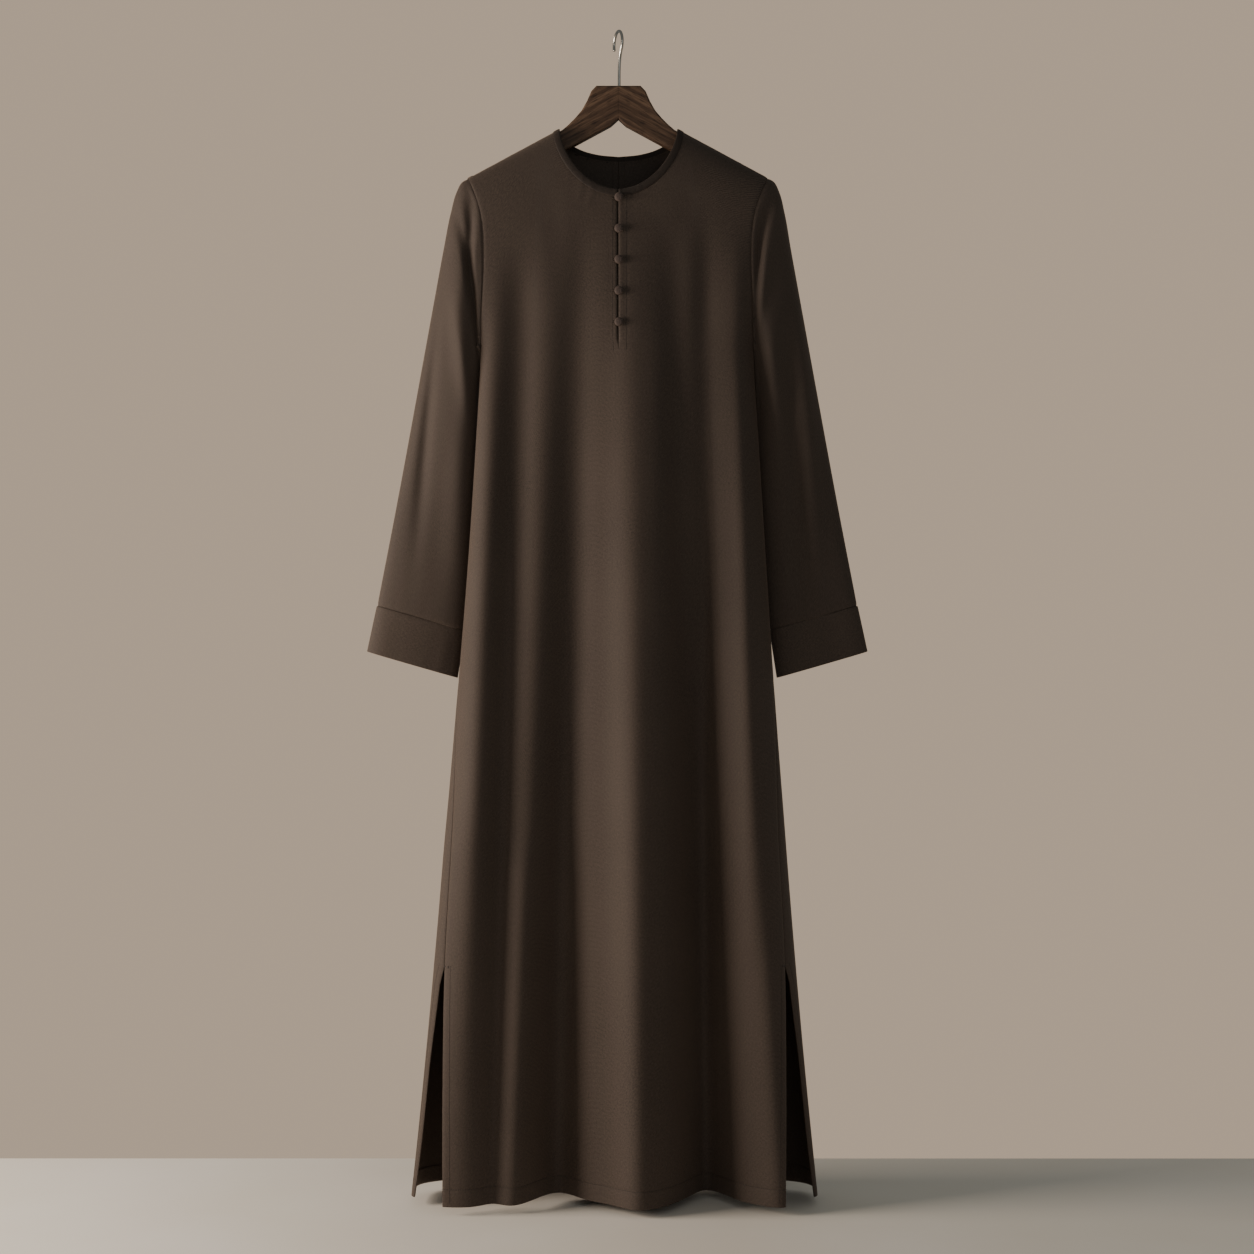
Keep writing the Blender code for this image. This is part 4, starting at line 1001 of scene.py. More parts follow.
@dataclass
class Stitching:
    """Runs of machine stitches, laid along lines on the cloth.

    Attributes:
        pitch: Distance from one stitch to the next.
        length: Length of the thread that shows in one stitch.
        radius: Half the thread's thickness.
        lift: How far the thread's middle lies above the cloth.
        spread: How much the stitches differ in length.
        seed: Start of the random lengths.
    """

    pitch: float = 0.0030
    length: float = 0.0024
    radius: float = 0.00024
    lift: float = 0.00005
    spread: float = 0.12
    seed: int = 7
    finish: ThreadFinish = field(default_factory=ThreadFinish)
    tree: Any = None
    thread: Any = None

    def build_tree(self) -> None:
        """Builds the Geometry Nodes tree that turns edges into runs of stitches."""
        self.thread = self.finish.material()
        self.tree = tree = bpy.data.node_groups.new("Run of stitches", "GeometryNodeTree")
        kinds = {"Lines": "Geometry", "Pitch": "Float", "Length": "Float", "Radius": "Float"}
        kinds |= {"Spread": "Float", "Seed": "Int", "Thread": "Material"}
        for name, kind in kinds.items():
            tree.interface.new_socket(name, in_out="INPUT", socket_type=f"NodeSocket{kind}")
        tree.interface.new_socket("Stitches", in_out="OUTPUT", socket_type="NodeSocketGeometry")
        given = add(tree, "NodeGroupInput").outputs
        path = add(tree, "GeometryNodeMeshToCurve", {"Mesh": given["Lines"]})
        steps = {"Curve": path, "Length": given["Pitch"]}
        points = add(tree, "GeometryNodeResampleCurve", steps, mode="LENGTH")
        bar = {"Vertices": 6, "Radius": given["Radius"], "Depth": given["Length"]}
        thread = add(tree, "GeometryNodeMeshCylinder", bar)
        run = {"Vector": add(tree, "GeometryNodeInputTangent")}
        turn = add(tree, "FunctionNodeAlignRotationToVector", run, axis="Z")
        spread = {0: 1.0, 1: given["Spread"]}
        least = add(tree, "ShaderNodeMath", spread, operation="SUBTRACT")
        most = add(tree, "ShaderNodeMath", spread, operation="ADD")
        between = {2: least, 3: most, "Seed": given["Seed"]}
        stretch = add(tree, "FunctionNodeRandomValue", between, data_type="FLOAT").outputs[1]
        size = add(tree, "ShaderNodeCombineXYZ", {"X": 1.0, "Y": 1.0, "Z": stretch})
        placed = {"Points": points, "Instance": thread, "Rotation": turn, "Scale": size}
        laid = add(tree, "GeometryNodeInstanceOnPoints", placed)
        real = add(tree, "GeometryNodeRealizeInstances", {"Geometry": laid})
        dyed = {"Geometry": real, "Material": given["Thread"]}
        add(tree, "NodeGroupOutput", {"Stitches": add(tree, "GeometryNodeSetMaterial", dyed)})

    def lay(self, name: str, lines: list[Array], pitch: float | None = None) -> bpy.types.Object:
        """Lays stitches along lines.

        Args:
            name: The piece's name.
            lines: The lines' points.
            pitch: Another distance between stitches.

        Returns:
            The stitches as one plain mesh.
        """
        if self.tree is None:
            self.build_tree()
        corners, edges = [], []
        for line in lines:
            first = len(corners)
            corners += [tuple(point) for point in line]
            edges += [(k, k + 1) for k in range(first, len(corners) - 1)]
        mesh = bpy.data.meshes.new(name)
        mesh.from_pydata(corners, edges, [])
        made = put(name, mesh, self.thread)
        run = made.modifiers.new("Run of stitches", "NODES")
        run.node_group = self.tree
        values = {
            "Pitch": pitch or self.pitch,
            "Length": self.length * (pitch or self.pitch) / self.pitch,
            "Radius": self.radius,
            "Spread": self.spread,
            "Seed": self.seed,
            "Thread": self.thread,
        }
        for item in self.tree.interface.items_tree:
            if item.in_out == "INPUT" and item.name in values:
                run[item.identifier] = values[item.name]
        made = baked(made)
        made.data.shade_smooth()
        return report(made, "crepe")


def edge_roll(grid: Grid, reach: float, drop: float, sides: str) -> Array:
    """How far the cloth dips towards a seam at its edges.

    Args:
        grid: The cloth.
        reach: Distance over which it dips.
        drop: Depth at the very edge.
        sides: Letters of the edges that dip: t, b, s (start) and e (end).

    Returns:
        The push at each point, negative inwards.
    """
    away = {"t": grid.lengths(0), "b": grid.to_end(0), "s": grid.lengths(1), "e": grid.to_end(1)}
    push = np.zeros(grid.points.shape[:2])
    for side in sides:
        push = np.minimum(push, -drop * np.exp(-((away[side] / reach) ** ROLL_POWER)))
    return push


def dent(away: Array, line: float, depth: float, width: float) -> Array:
    """A pressed groove along a line of stitches, at a distance from an edge."""
    return -depth * np.exp(-(((away - line) / width) ** 2))


def puckers(along: Array, away: Array, height: float, reach: float, seed: float) -> Array:
    """Small uneven waves that sewing leaves beside a seam.

    Args:
        along: Distance along the seam.
        away: Distance from it.
        height: The waves' height.
        reach: How far they run into the cloth.
        seed: Start of their unevenness.

    Returns:
        The push at each point.
    """
    short, long, pressed = 0.0085, 0.0210, 0.0012
    wave = uneven_wave(along, short, seed) + 0.5 * uneven_wave(along, long, seed + 2.0)
    return height * wave * np.exp(-(away / reach)) * smooth_step(away / pressed)


@dataclass(frozen=True)
class Cut:
    """The cut of what shows of a cloth piece, and how the piece is held.

    Attributes:
        width: Its width, laid flat.
        length: Its length, laid flat.
        area: Its area.
        held: Whether it is hung or folded.
    """

    width: float
    length: float
    area: float
    held: str = "hung"

    def piece(
        self, name: str, solid: str, grids: list[Grid], dye: bpy.types.Material, rests_on: list[str]
    ) -> bpy.types.Object:
        """Builds the piece as a cloth shell and hides the solid it replaces.

        Args:
            name: Its name.
            solid: The solid that it replaces.
            grids: Its outside.
            dye: Its material.
            rests_on: Not used.

        Returns:
            The piece.
        """
        made = walled(put(name, made_mesh(name, grids), dye), CLOTH)
        report(made, "crepe", solid)
        return made


NEAR_EDGE = (0.0028, 0.0062, 0.0105, 0.0165, 0.0250)


@dataclass
class BodyPanels:
    """The front in one piece and the back in two, cut, pressed, hemmed and sewn.

    Attributes:
        form: The form they hang in.
        chest_rows: Where the rows next to the top edge lie, as shares of the way down.
        late_rows: How many rows follow them, down to the underarm.
        body_rows: How many rows there are from the underarm to the hem.
        hem_rows: Distances of further rows from the hem.
        slit_rows: How many further rows lie above and below a slit's top, and their pitch.
        neck_share: Share of the columns that end on the neck.
        neck_even: Share of the neck's outline over which they are even.
        neck_turn: Shares of the columns at its end, closer together.
        hem_depth: Depth of the hem's turning.
        slit_depth: Distance from a slit's edge to its stitching.
        seam_roll: Over what reach the cloth dips into a seam, and how far.
        side_puckers: Height and reach of the puckers beside a side seam.
        hem_wave: Height, pitch and reach of the waves over the hem's stitching.
    """

    form: BodyForm = field(default_factory=BodyForm)
    chest_rows: Row = (0.0, 4e-7, 4e-6, 3e-5, 2e-4, 7e-4, 0.0016, 0.0032, 0.0055, 0.0085, 0.0125)
    late_rows: int = 66
    body_rows: int = 205
    hem_rows: Row = (0.0009, 0.002, 0.0034, 0.021, 0.0225, 0.024)
    slit_rows: tuple[int, float] = (3, 0.0012)
    half_columns: int = 58
    neck_share: float = 0.56
    neck_even: float = 0.87
    neck_clear: float = 0.05
    neck_turn: Row = (0.90, 0.93, 0.955, 0.975, 0.99, 1.0)
    hem_depth: float = 0.0230
    hem_gap: float = 0.0014
    allowance: float = 0.0080
    shoulder_allowance: float = 0.0050
    shoulder_gap: float = 0.0012
    slit_depth: float = 0.0100
    placket_depth: float = 0.0105
    placket_left: float = 0.0070
    placket_open: float = 0.0010
    placket_open_reach: float = 0.004
    placket_top: tuple[float, float] = (0.004, 0.012)
    joined_rise: float = 0.0002
    step_fade: float = 0.01
    seam_roll: tuple[float, float] = (0.0022, 0.0008)
    placket_roll: tuple[float, float] = (0.0016, 0.0011)
    middle_roll: tuple[float, float] = (0.0018, 0.0008)
    hem_dent: tuple[float, float] = (0.00035, 0.0014)
    slit_dent: tuple[float, float] = (0.00030, 0.0012)
    side_puckers: tuple[float, float] = (0.00035, 0.010)
    side_calm: float = 0.4
    neck_puckers: tuple[float, float] = (0.00030, 0.009)
    placket_puckers: tuple[float, float] = (0.00028, 0.012)
    middle_puckers: tuple[float, float] = (0.00030, 0.009)
    hem_wave: tuple[float, float, float] = (0.00022, 0.0120, 0.006)
    tack_length: float = 0.0060
    tack_inset: float = 0.0004
    tack_pitch: float = 0.0005
    tack_rows: int = 5
    stitch_end: float = 0.005
    hem_clear: float = 0.004
    ease_reach: float = 0.030
    ease_edge: float = 0.020
    ease_passes: int = 60
    front_cut: Cut = Cut(0.600, 1.455, 0.700)
    back_cut: Cut = Cut(0.400, 1.463, 0.392)
    grids: dict[str, Grid] = field(default_factory=dict)

    def heights(self) -> Array:
        """Heights of the rows below the underarm, closer near the hem and slit top."""
        form, (count, pitch) = self.form, self.slit_rows
        even = np.linspace(form.underarm, form.hem, self.body_rows)
        fine = [form.slit_top + k * pitch for k in range(-count, count + 1)]
        low = [form.hem + rise for rise in self.hem_rows]
        at = np.unique(np.concatenate((even, fine, low, [form.placket_end])))[::-1]
        return at[at <= form.underarm]

    def shares(self) -> tuple[Array, Array]:
        """Shares across a half panel, and those along the neck of its first columns."""
        shares = even_with_edges(self.half_columns, NEAR_EDGE, NEAR_EDGE)
        count = int(len(shares) * self.neck_share)
        even = np.linspace(0.0, self.neck_even, count - len(self.neck_turn))
        start = [share * 2 for share in NEAR_EDGE]
        even = np.unique(np.concatenate((even[even > self.neck_clear], start, [0.0])))
        return shares, np.append(even, self.neck_turn)

    def half(self, face: Face, side: Side) -> Grid:
        """One half of the front or back as a grid, from the middle outwards."""
        form = self.form
        shares, neck = self.shares()
        late = np.linspace(self.chest_rows[-1], 1.0, self.late_rows)[1:-1]
        made = form.chest(face, side, shares, neck, np.concatenate((self.chest_rows, late)))
        row_of = form.front_row if face is Face.FRONT else form.back_row
        made += [row_of(float(height), side, shares) for height in self.heights()]
        grid = Grid(np.array(made), turned=(face is Face.FRONT) == (side is Side.LEFT))
        self.ease(grid)
        grid = self.sewn(grid, face, side)
        self.grids[f"{face.value}_{side.name.lower()}"] = grid
        return grid

    def ease(self, grid: Grid) -> None:
        """Softens the turn in the cloth at the height of the underarm."""
        points, along = grid.points, grid.lengths(0)
        share = (along[1:-1] - along[:-2]) / (along[2:] - along[:-2] + TINY)
        weight = np.exp(-(((points[..., 2] - self.form.underarm) / self.ease_reach) ** 2))
        edge = np.minimum(grid.to_end(1), grid.lengths(1))
        weight = (weight * smooth_step(edge / self.ease_edge) / 2)[1:-1, :, None]
        share = share[..., None]
        for _ in range(self.ease_passes):
            straight = points[:-2] * (1 - share) + points[2:] * share
            points[1:-1] += weight * (straight - points[1:-1])

    def sewn(self, grid: Grid, face: Face, side: Side) -> Grid:
        """Adds what sewing does to the cloth: dipped edges, pressed lines and puckers."""
        form, height = self.form, grid.points[..., 2]
        down, to_hem = grid.lengths(0), grid.to_end(0)
        from_start, from_end = grid.lengths(1), grid.to_end(1)
        seed = 1.0 + 2.0 * (side is Side.RIGHT) + 5.0 * (face is Face.BACK)
        chest = smooth_step((height - form.underarm) / self.step_fade)
        below = smooth_step((form.slit_top - height) / self.step_fade)
        push = edge_roll(grid, *self.seam_roll, "te")
        calm = self.side_calm + (1 - self.side_calm) * chest
        push += puckers(down, from_end, *self.side_puckers, seed) * calm
        push += puckers(from_start, down, *self.neck_puckers, seed + 1.0)
        push += dent(to_hem, self.hem_depth, *self.hem_dent)
        rise, pitch, reach = self.hem_wave
        wave = uneven_wave(from_start, pitch, seed + 3)
        push -= dent(to_hem, self.hem_depth, rise, reach) * wave
        push += dent(from_end, self.slit_depth, *self.slit_dent) * below
        if face is Face.BACK:
            push += edge_roll(grid, *self.middle_roll, "s")
            push += puckers(down, from_start, *self.middle_puckers, seed + 4.0)
            return grid.pushed(push)
        clear, fade = self.placket_top
        opened = smooth_step((height - form.placket_end - clear) / fade)
        pressed = dent(from_start, self.placket_depth, *self.slit_dent)
        push += (edge_roll(grid, *self.placket_roll, "s") + pressed) * opened
        push += puckers(down, from_start, *self.placket_puckers, seed + 6.0) * opened
        moved = grid.pushed(push)
        if side is Side.LEFT:
            near = np.exp(-((from_start / self.placket_open_reach) ** 2))
            moved.points[..., 0] -= self.placket_open * near * opened
        joined = height[:, 0] <= form.placket_end + self.joined_rise
        moved.points[joined, 0, :2] = grid.points[joined, 0, :2]
        return moved

    def front(self, dye: bpy.types.Material) -> bpy.types.Object:
        """Builds the front."""
        halves = []
        for side in Side:
            grid = self.half(Face.FRONT, side)
            grid = grid.tucked(self.shoulder_allowance, self.shoulder_gap, first=True)
            halves.append(grid.hemmed(self.hem_depth, self.hem_gap))
        arms = ["hanger_arm_left", "hanger_arm_right"]
        return self.front_cut.piece("front_cloth", "front_panel", halves, dye, arms)

    def back(self, side: Side, dye: bpy.types.Material) -> bpy.types.Object:
        """Builds one back half."""
        word = side.name.lower()
        grid = self.half(Face.BACK, side).hemmed(self.allowance, self.hem_gap, axis=1, first=True)
        grid = grid.hemmed(self.hem_depth, self.hem_gap)
        names = f"back_cloth_{word}", f"back_panel_{word}"
        return self.back_cut.piece(*names, [grid], dye, [f"hanger_arm_{word}"])


def sew(panels: BodyPanels) -> None:
    """Lays the stitches of the hem, the slits and the front closure, with the bar tacks."""
    stitching = Stitching()
    form, lift = panels.form, stitching.lift
    hems, slits, closure, tacks = [], [], [], []
    for word, grid in panels.grids.items():
        hems.append(grid.line(0, panels.hem_depth, lift, True))
        height = grid.points[:, -1, 2]
        beside = grid.line(1, panels.slit_depth, lift, True)
        above_hem = height > form.hem + panels.hem_clear
        slits.append(beside[(height < form.slit_top) & above_hem])
        if word.startswith("back"):
            continue
        distance = panels.placket_depth if word == "front_right" else panels.placket_left
        beside = grid.line(1, distance, lift, False)
        closure.append(beside[grid.points[:, 0, 2] > form.placket_end - panels.stitch_end])
        row = int(np.argmin(np.abs(height - form.slit_top)))
        reach = grid.to_end(1)[row]
        raised = (grid.points + grid.normals() * 2 * lift)[row]
        tack = np.array([panels.tack_inset, panels.tack_length])
        tack = between(reach[::-1], raised[::-1], tack)
        for drop in np.arange(panels.tack_rows) * panels.tack_pitch:
            tacks.append(tack + np.array([0.0, 0.0, panels.tack_pitch - drop]))
    stitching.lay("hem_stitches", hems)
    stitching.lay("slit_stitches", slits)
    stitching.lay("closure_stitches", closure)
    stitching.lay("slit_bar_tacks", tacks, panels.tack_length / 2)


SLEEVE_OUTER = (
    (0.2035, -0.1993),
    (0.2120, -0.2045),
    (0.2192, -0.2170),
    (0.2273, -0.2450),
    (0.2368, -0.2929),
    (0.2498, -0.3613),
    (0.2752, -0.4982),
    (0.3005, -0.6351),
    (0.3281, -0.7796),
)
SLEEVE_INNER = (
    (0.1858, -0.4365),
    (0.1860, -0.4520),
    (0.1862, -0.4750),
    (0.1870, -0.5300),
    (0.1930, -0.6600),
    (0.2000, -0.7500),
    (0.2085, -0.8131),
)
SLEEVE = Table(("share", "middle", "half_depth"), (
    (0.00, 0.000, 0.026),
    (0.10, 0.008, 0.030),
    (0.25, 0.016, 0.031),
    (0.50, 0.021, 0.027),
    (0.80, 0.021, 0.020),
    (1.00, 0.018, 0.0165),
))
# Folds and creases of a sleeve: where it lies along the sleeve, and across it from its
# outer edge (0) to its inner one (1), how far it leans, its size, and its depth
SLEEVE_FOLD_NAMES = ("along", "across", "lean", "long", "wide", "depth")
SLEEVE_FOLDS = {
    (Face.FRONT, Side.LEFT): Table(SLEEVE_FOLD_NAMES, (
        (0.078, 0.50, 0.00, 0.022, 0.34, -0.0082),
        (0.045, 0.24, 3.20, 0.040, 0.09, -0.0064),
        (0.200, 0.50, 1.30, 0.120, 0.22, 0.0076),
        (0.120, 1.00, 0.00, 0.160, 0.12, -0.0030),
        (0.600, 0.78, 0.25, 0.320, 0.28, 0.0100),
        (0.560, 0.24, 0.38, 0.240, 0.09, -0.0050),
        (0.850, 0.42, 0.20, 0.120, 0.16, 0.0014),
    )),
    (Face.FRONT, Side.RIGHT): Table(SLEEVE_FOLD_NAMES, (
        (0.036, 0.30, 0.00, 0.018, 0.26, -0.0060),
        (0.080, 0.42, 0.00, 0.030, 0.24, 0.0040),
        (0.300, 0.58, 0.00, 0.200, 0.12, 0.0060),
        (0.250, 0.88, 0.00, 0.180, 0.10, -0.0070),
        (0.620, 0.26, 0.60, 0.360, 0.12, 0.0056),
        (0.560, 0.46, 0.40, 0.240, 0.09, -0.0044),
        (0.860, 0.70, 0.00, 0.140, 0.14, 0.0016),
    )),
    (Face.BACK, Side.LEFT): Table(SLEEVE_FOLD_NAMES, (
        (0.090, 0.62, 0.00, 0.060, 0.16, -0.0050),
        (0.250, 0.60, 0.30, 0.140, 0.12, -0.0050),
        (0.440, 0.36, 0.24, 0.260, 0.12, 0.0046),
        (0.560, 0.66, 0.15, 0.220, 0.10, -0.0040),
        (0.800, 0.42, 0.20, 0.160, 0.12, 0.0020),
    )),
    (Face.BACK, Side.RIGHT): Table(SLEEVE_FOLD_NAMES, (
        (0.080, 0.54, 0.00, 0.050, 0.18, -0.0050),
        (0.200, 0.72, 0.20, 0.140, 0.10, -0.0046),
        (0.380, 0.48, 0.30, 0.280, 0.13, 0.0050),
        (0.600, 0.30, 0.20, 0.200, 0.10, -0.0034),
        (0.780, 0.58, 0.10, 0.160, 0.12, 0.0018),
    )),
}


@dataclass
class Sleeves:
    """Two long straight sleeves, set in smoothly at the armholes, with plain cuffs.

    Attributes:
        form: The body's form, which gives the armholes.
        armhole_fade: Share of the length over which the armhole's shape fades out.
        seam_fade: Share of it over which a sleeve steps off the armhole.
        fold_fade: Share of it over which the folds begin.
        tip_clear: How far a sleeve stands off the armhole at the shoulder's tip.
        underarm_lap: How far it laps over the body at the underarm.
        end_power: How close to its ends the two hold.
        seam_roll: Over what reach the cloth dips into a seam, and how far.
        top_puckers: Height and reach of the puckers at the armhole.
        low_puckers: The same at the cuff's seam.
        cuff_wave: Height and pitch of the cuff's waves, and where they are in full.
    """

    form: BodyForm = field(default_factory=BodyForm)
    around: int = 104
    rings: int = 132
    square: float = 2.3
    armhole_fade: float = 0.22
    seam_fade: float = 0.05
    fold_fade: float = 0.012
    near_armhole: float = 0.12
    armhole_rings: int = 42
    first_ring: float = 0.0012
    last_rings: Row = (0.0012, 0.003, 0.006)
    tip_clear: float = 0.0004
    underarm_lap: float = 0.0008
    end_power: int = 8
    drop: float = 0.0003
    seam_roll: tuple[float, float] = (0.0024, 0.0008)
    top_puckers: tuple[float, float] = (0.00042, 0.012)
    low_puckers: tuple[float, float] = (0.00030, 0.010)
    cuff_outer: tuple[Row, Row] = ((0.3285, -0.7800), (0.3419, -0.8420))
    cuff_inner: tuple[Row, Row] = ((0.2085, -0.8135), (0.2184, -0.8780))
    cuff_proud: float = 0.0004
    cuff_end_depth: float = 0.0150
    cuff_rows: int = 26
    cuff_edges: Row = (0.01, 0.03)
    cuff_gap: float = 0.0016
    cuff_fold: float = 0.050
    cuff_roll: tuple[float, float] = (0.0012, 0.0005)
    cuff_puckers: tuple[float, float] = (0.00022, 0.008)
    cuff_wave: tuple[float, float, float] = (0.00025, 0.034, 0.03)
    allowance: float = 0.0080
    tuck_gap: float = 0.0018
    sleeve_cut: Cut = Cut(0.270, 0.600, 0.131)
    cuff_cut: Cut = Cut(0.278, 0.114, 0.0315, "folded")

    def angles(self) -> Array:
        """Even angles round a sleeve, from its outer edge over the front."""
        return np.linspace(0.0, 2 * math.pi, self.around, endpoint=False)

    def ring(self, outer: Array, inner: Array, side: Side, half_depth: float, share: float) -> Array:
        """A flattened ring between an outer and an inner point.

        Args:
            outer: The outer point, seen from the front, as on the right.
            inner: The inner point.
            side: The sleeve's side.
            half_depth: Half the ring's depth.
            share: Share of the sleeve's length, which gives its middle.

        Returns:
            The ring's points.
        """
        angle = self.angles()
        cosine, sine = np.cos(angle), np.sin(angle)
        across = ((1 - np.sign(cosine) * np.abs(cosine) ** (2 / self.square)) / 2)[:, None]
        swell = np.sign(sine) * np.abs(sine) ** (2 / self.square)
        flat = (1 - across) * outer * (side.value, 1.0) + across * inner * (side.value, 1.0)
        away = float(SLEEVE.read("middle", share)) - half_depth * swell
        shift = self.form.at("shift", self.form.underarm)
        return np.stack([flat[:, 0] + shift, away, flat[:, 1]], axis=-1)

    def plain(self, side: Side, share: float) -> Array:
        """The sleeve's ring at a share of its length, without armhole or folds."""
        outer, inner = (walk(line, [share])[0] for line in (SLEEVE_OUTER, SLEEVE_INNER))
        return self.ring(outer, inner, side, float(SLEEVE.read("half_depth", share)), share)

    def armhole(self, side: Side, down: Array, face: Face) -> Array:
        """Points of the armhole's edge, at shares of its height from the shoulder."""
        form = self.form
        height = form.armhole_top + (form.underarm - form.armhole_top) * down
        across = side.value * ARMHOLE.read("seam", height) + BODY.read("shift", height)
        away = form.depth(face, across, height)
        return np.stack([across, -away if face is Face.FRONT else away, height], axis=-1)

    def push(self, face: Face, side: Side, share: float, across: Array) -> Array:
        """How far a sleeve's folds move it outwards."""
        push = np.zeros_like(across)
        for fold in SLEEVE_FOLDS[face, side].records():
            lengthwise = (share - fold["along"]) / fold["long"]
            at = fold["across"] + fold["lean"] * (share - fold["along"])
            crosswise = (across - at) / fold["wide"]
            push = push + fold["depth"] * np.exp(-(lengthwise**2) - crosswise**2)
        return push

    def shaped(self, side: Side, share: float) -> Array:
        """The ring at a share of the sleeve's length."""
        angle = self.angles()
        in_front = np.sin(angle) >= 0
        down = (1 - np.cos(angle)) / 2
        front, back = (self.armhole(side, down, face) for face in Face)
        seam = np.where(in_front[:, None], front, back)
        keep = 1 - smooth_step(share / self.armhole_fade)
        made = self.plain(side, share) + (seam - self.plain(side, 0.0)) * keep
        swell = np.sqrt(np.abs(np.sin(angle))) * smooth_step(share / self.fold_fade)
        forward, backward = (self.push(face, side, share, down) for face in Face)
        made[:, 1] += np.where(in_front, -forward, backward) * swell
        step_off = 1 - smooth_step(share / self.seam_fade)
        at_tip, at_underarm = np.cos(angle / 2) ** self.end_power, np.sin(angle / 2) ** self.end_power
        away = 2 * self.form.gap + self.tip_clear * at_tip - self.underarm_lap * at_underarm
        made[:, 0] += side.value * away * step_off
        made[:, 2] -= self.drop * step_off
        return made

    def sleeve(self, side: Side, dye: bpy.types.Material) -> bpy.types.Object:
        """Builds one sleeve."""
        near = np.linspace(0.0, self.near_armhole, self.armhole_rings)
        late = even_with_edges(self.rings, (), self.last_rings)
        late = late[late > self.near_armhole]
        shares = np.unique(np.concatenate((near, [self.first_ring], late)))
        rings = np.array([self.shaped(side, float(share)) for share in shares])
        rings[-1, :, 2] += 2 * self.form.gap
        grid = Grid(rings, turned=side is Side.RIGHT, closed=True)
        seed, round_it = 3.0 + side.value, grid.lengths(1)
        push = edge_roll(grid, *self.seam_roll, "tb")
        push += puckers(round_it, grid.lengths(0), *self.top_puckers, seed)
        push += puckers(round_it, grid.to_end(0), *self.low_puckers, seed + 4.0)
        grid = grid.pushed(push).tucked(self.allowance, self.tuck_gap, first=True)
        grid = grid.tucked(self.allowance, self.tuck_gap / 3, first=False)
        word = side.name.lower()
        names = f"sleeve_cloth_{word}", f"sleeve_{word}"
        return self.sleeve_cut.piece(*names, [grid], dye, ["front_cloth"])

    def cuff(self, side: Side, dye: bpy.types.Material) -> bpy.types.Object:
        """Builds one cuff, folded double at its lower edge."""
        proud = np.array([self.cuff_proud, 0.0])
        top_depth = float(SLEEVE.read("half_depth", 1.0)) + self.cuff_proud
        outer, inner = np.array(self.cuff_outer), np.array(self.cuff_inner)
        rings = []
        for share in even_with_edges(self.cuff_rows, self.cuff_edges, self.cuff_edges):
            depth = share * self.cuff_end_depth + (1 - share) * top_depth
            at_outer = outer[0] + (outer[1] - outer[0]) * share + proud
            at_inner = inner[0] + (inner[1] - inner[0]) * share - proud
            rings.append(self.ring(at_outer, at_inner, side, depth, 1.0))
        grid = Grid(np.array(rings), turned=side is Side.RIGHT, closed=True)
        seed, round_it, down = 9.0 + side.value, grid.lengths(1), grid.lengths(0)
        rise, pitch, full = self.cuff_wave
        push = edge_roll(grid, *self.cuff_roll, "t")
        push += puckers(round_it, down, *self.cuff_puckers, seed)
        push += rise * uneven_wave(round_it, pitch, seed) * smooth_step(down / full)
        grid = grid.pushed(push).hemmed(self.cuff_fold, self.cuff_gap)
        word = side.name.lower()
        names = f"cuff_cloth_{word}", f"cuff_{word}"
        return self.cuff_cut.piece(*names, [grid], dye, [f"sleeve_cloth_{word}"])


